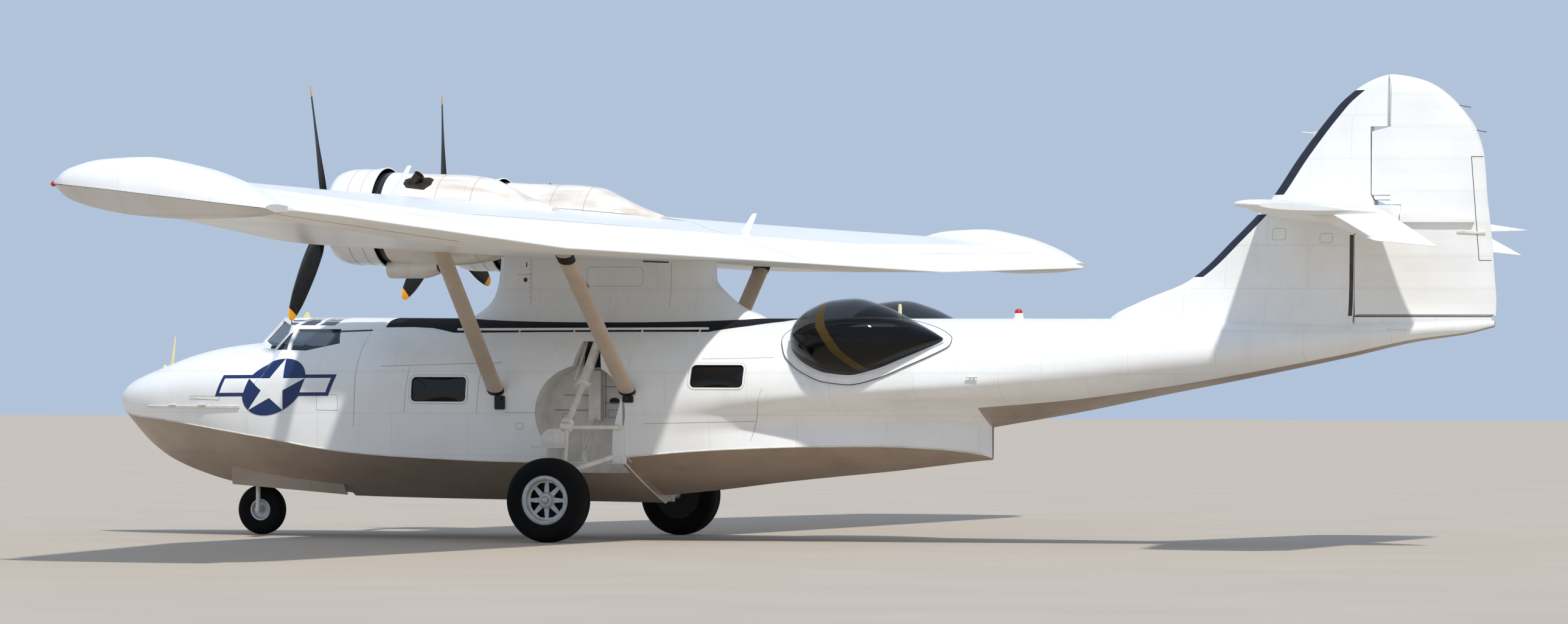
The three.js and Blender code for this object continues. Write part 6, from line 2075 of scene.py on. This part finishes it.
def well_fittings(side):
    wall = WELL["inner"]
    shapes, slots = [], []
    for a, b in WELL_RIBS:
        shapes.append(tube([(a[0], wall + 2, a[1]), (b[0], wall + 2, b[1])], 9, 8))
        slots.append(1)
    for low, high in WELL_HATCHES:
        frame_path = [(x, wall + 1, z) for x, z in looped(rounded(low, high, 18, 3))]
        shapes += [tube([a, b], 5, 6) for a, b in zip(frame_path, frame_path[1:])]
        slots += [1] * (len(frame_path) - 1)
    # The inspection hole is a black disc and the leg's slot a black sheet: painted shade of the openings.
    shapes.append(prism(ellipse(72, 44, 7701, 1859), wall - 1, wall + 3))
    slots.append(2)
    shapes.append(prism(SLOT_SHADOW, wall - 1, wall + 2))
    slots.append(2)
    shapes += [rod(*bar) for bar in WELL_BARS]
    slots += [0] * len(WELL_BARS)
    return mirrored(gathered(shapes, slots), side)


def leg_fittings(side):
    collar, top, knuckle = Vector((7470, 1560, 2080)), Vector((7490, 950, 2760)), Vector((7410, 2020, 1510))
    along = collar - knuckle
    shapes = [placed(spun(LEG_COLLAR, (0, 0, 0), "z", 36), collar, top - collar),
              rod(collar - Vector((112, 0, 0)), collar + Vector((112, 0, 0)), 20, 20),
              rod(collar + Vector((0, 0, 30)) - Vector((100, 0, 0)), collar - Vector((40, 60, -120)), 12, 14),
              placed(spun(LEG_COLLAR, (0, 0, 0), "z", 32), knuckle + along * 0.1, along)]
    for share in (0.35, 0.62):
        spot = knuckle.lerp(collar, share)
        shapes.append(placed(spun(LEG_BAND, (0, 0, 0), "z", 28), spot, along))
    return mirrored(gathered(shapes), side)


for side_name, side in SIDES.items():
    piece(f"well_fittings_{side_name}", well_fittings(side),
          materials=(GEAR_WHITE, SOFT_SEAM, DRUM))
    piece(f"leg_fittings_{side_name}", leg_fittings(side), materials=(GEAR_WHITE,),
          bevel=3)
    plate = bmesh.new()
    decal(plate, hull_tree, on_side(EDGE_PLATE, side), inward(side), 3)
    marks(f"well_edge_plate_{side_name}", plate, WHITE, thickness=6)
print("wells and legs fitted")

# %% [markdown]
# Cowl and nacelle are sheet rings joined end to end, and each joint is a fine dark line. Behind the exhaust
# stub the top of the nacelle is let in with heat-stained steel.

# %% Nacelle joints
ABOVE_WING = 5200
RECESS_OUT = 352
# Columns: station, place across from the stub's mouth
RECESS = [(5190, 0), (5300, -90), (5560, -105), (5640, -40), (5640, 60), (5560, 110), (5300, 90)]


def ring_line(x, y, z, half_height, half_breadth, width=8, rise=1.8):
    outline = rectangle((half_height - 6, -width / 2), (half_height + rise, width / 2))
    bm = spun(outline, (x, y, z), "x", 96)
    bmesh.ops.scale(bm, vec=(1, half_breadth / half_height, 1), space=Matrix.Translation((0, -y, 0)),
                    verts=bm.verts)
    return bm


for side_name, side in SIDES.items():
    y = ENGINE["y"] * side
    lines = [ring_line(x, y, ENGINE["z"], 640, 640) for x in (4500, 4690)]
    for x in (5745, 6240):
        z, half_height, half_breadth = fair(NACELLE_ROWS, x)
        lines.append(ring_line(x, y, z, half_height, half_breadth))
    piece(f"nacelle_joints_{side_name}", gathered(lines), materials=(SOFT_SEAM,))
    recess = bmesh.new()
    mouth_y = (ENGINE["y"] + RECESS_OUT) * side
    outline = [(x, mouth_y + across, ABOVE_WING) for x, across in RECESS]
    decal(recess, nacelle_trees[side], outline, DOWN, 2, pitch=40)
    marks(f"exhaust_recess_{side_name}", recess, DARK_METAL)
print("nacelle joints laid")

# %% [markdown]
# On the pylon there are a door's outline, a row of fasteners, an inspection hole, and a small window of
# its own, a bulged pane in a pale frame. Under the wing runs the gap of its fairing.

# %% Pylon details
PYLON_LINES = [[(6234, 3780), (6238, 3150)], [(6005, 3562), (6236, 3561)], [(8248, 3710), (8250, 3120)]]
PYLON_WINDOW = (6960, 3385, 150, 88)
# Columns: share of the window's size, height over the pylon's skin
WINDOW_RINGS = ((1, -6), (1, 3), (0.9, 5), (0.86, 14), (0.7, 34), (0.45, 48), (0.2, 54), (0.02, 56))
for side_name, side in SIDES.items():
    toward = inward(side)
    details = bmesh.new()
    for path in PYLON_LINES:
        ribbon(details, pylon_tree, on_side(path, side), 6, toward, 1.2, 50)
    door = looped(rounded((7056, 3402), (7856, 3658), 60, 5))
    ribbon(details, pylon_tree, on_side(door, side), 6, toward, 1.2, 50)
    ribbon(details, pylon_tree, on_side([(7000, 3768), (8212, 3722)], side), 20, toward, 2, 50, 1)
    decal(details, pylon_tree, on_side(ellipse(32, 32, 6139, 3492, 20), side), toward, 2, 1)
    ribbon(details, pylon_tree, on_side([(6155, 3730), (6157, 3665)], side), 16, toward, 2, 30, 1)
    for k in range(9):
        spot = ellipse(6, 6, 6206, 3760 - 62 * k, 8)
        decal(details, pylon_tree, on_side(spot, side), toward, 2, 1)
    marks(f"pylon_details_{side_name}", details, SOFT_SEAM, SEAM)
    cx, cz, reach_x, reach_z = PYLON_WINDOW
    rings = []
    for share, lift in WINDOW_RINGS:
        ring = []
        for a in turns(32):
            point = (cx + share * reach_x * math.cos(a), BESIDE * side, cz + share * reach_z * math.sin(a))
            ring.append(cast(pylon_tree, point, toward, lift))
        rings.append(ring)
    bubble = lofted(rings)
    for face in bubble.faces:
        middle = face.calc_center_median()
        face.material_index = int(math.hypot((middle.x - cx) / reach_x, (middle.z - cz) / reach_z) > 0.87)
    piece(f"engineer_window_{side_name}", bubble, materials=(WINDOW_GLASS_PAINTED_SHADE, GEAR_WHITE))
print("pylon details laid")

# %% [markdown]
# The wing's top has a black walkway strip over the pylon and fine lines at the spars. The float's lower
# edge has a dark sealing line, and a lamp stands in its nose: red to port, green to starboard.

# %% Wing and float details
GREEN = mottled("lamp green", "#1f8a4c", "#166b3a", 0.25)
# Seen from above. Columns: station, spanwise place
WALKWAY = [(6300, -300), (6550, -300), (6943, 2120), (7215, 3060), (6700, 2120)]
WING_LINES = [([(7250, 3080), (7812, 2180), (9450, 1520)], 12), ([(8150, -7120), (8150, -1500)], 8),
              ([(5900, -14200), (5500, -7600)], 8)]
LENS_PROFILE = [(0, 0), (30, 0), (31, 18), (24, 34), (12, 43), (0, 46)]
EDGE_RADIUS = 5
wing_bm = gathered([wing_centre(), wing_outer(-1), wing_outer(1)])
wing_tree = BVHTree.FromBMesh(wing_bm)
wing_bm.free()
wing_marks = bmesh.new()
decal(wing_marks, wing_tree, [(x, y, ABOVE_WING) for x, y in WALKWAY], DOWN, 2.5, 1, 90)
for path, width in WING_LINES:
    ribbon(wing_marks, wing_tree, [(x, y, ABOVE_WING) for x, y in path], width, DOWN, 1.5, 80)
marks("wing_lines", wing_marks, SOFT_SEAM, DECK_BLACK)
for side_name, side in SIDES.items():
    path = []
    for x in spaced(6500, 9230, 50):
        keel_y, keel_z = fair(FLOAT_ROWS, x)[:2]
        path.append((x, (keel_y - EDGE_RADIUS) * side, keel_z))
    piece(f"float_edge_{side_name}", tube(path, EDGE_RADIUS, 8), materials=(SEAM,))
    lens = spun(LENS_PROFILE, (0, 0, 0), "z", 24)
    piece(f"tip_lamp_{side_name}", placed(lens, (6500, 15392 * side, 4289), (-1, side * 0.3, 0)),
          materials=(RED if side < 0 else GREEN,))
print("wing and float details laid")

# %% [markdown]
# Fin and rudder: a sealing strip down the hinge gap, the trim tab let into the trailing edge with its
# actuator fairing, inspection panels, a pitot tube on the leading edge and static wicks at the back.

# %% Tail details
TAB = [(19136, 5053), (19240, 3718)]
PANELS = [((16520, 3990), (16700, 4140)), ((17160, 3950), (17330, 4070)), ((18090, 2820), (18330, 2930))]
for side_name, side in SIDES.items():
    toward = inward(side)
    strip = bmesh.new()
    ribbon(strip, fin_tree, on_side([(17583, 3000), (17583, 4052)], side), 52, toward, 1.5, 60, 1)
    for low, high in PANELS[:2]:
        loop = on_side(looped(rounded(low, high, 30, 4)), side)
        ribbon(strip, fin_tree, loop, 5, toward, 1.2, 40)
    loop = on_side(looped(rounded(*PANELS[2], 12, 3)), side)
    ribbon(strip, hull_tree, loop, 5, toward, 1.2, 40)
    marks(f"fin_details_{side_name}", strip, SOFT_SEAM, SEAM)
    tab = bmesh.new()
    for path in ([TAB[0], TAB[1]], [TAB[0], (19285, TAB[0][1])], [TAB[1], (19395, TAB[1][1])]):
        ribbon(tab, rudder_tree, on_side(path, side), 9, toward, 1.2, 60)
    ribbon(tab, rudder_tree, on_side([(17660, 3014), (19430, 3014)], side), 10, toward, 1.2, 80)
    marks(f"tab_lines_{side_name}", tab, SEAM, body="rudder", slot="fabric_white")
    fairing = bmesh.new()
    ribbon(fairing, rudder_tree, on_side([(18960, 4090), (19320, 4070)], side), 28, toward, 16, 40)
    marks(f"tab_actuator_{side_name}", fairing, GEAR_WHITE, body="rudder", slot="fabric_white", thickness=18)
front, back, half = fair(FIN_ROWS, 3000)
plan = []
for x in spaced(17640, 19400, 16):
    t = (x - front) / (back - front)
    plan.append((x, max(half * fin_share(t), 8)))
plan += [(x, -y) for x, y in reversed(plan)]
seal = prism([(x, y * 0.97) for x, y in plan], 2986, 2999, "z")
seat = gathered([prism(plan, 2900, 2986, "z"), seal], [0, 1])
piece("rudder_seat", seat, materials=(WHITE, SEAM))
wicks = []
for x, z in ((19060, 5700), (19268, 5380)):
    wicks.append(rod((x - 90, 0, z + 20), (x + 60, 0, z - 10), 5, 8))
piece("static_wicks", gathered(wicks), "rudder", materials=(SEAM,))
PITOT_FOOT = [17060, 0, 5300, 17060, 0, 5400, 90, 60]
pitot = gathered([tube([(16880, 0, 5392), (17090, 0, 5370)], 11), mast(PITOT_FOOT)])
piece("fin_pitot", pitot, materials=(GEAR_WHITE,))
print("tail details made")
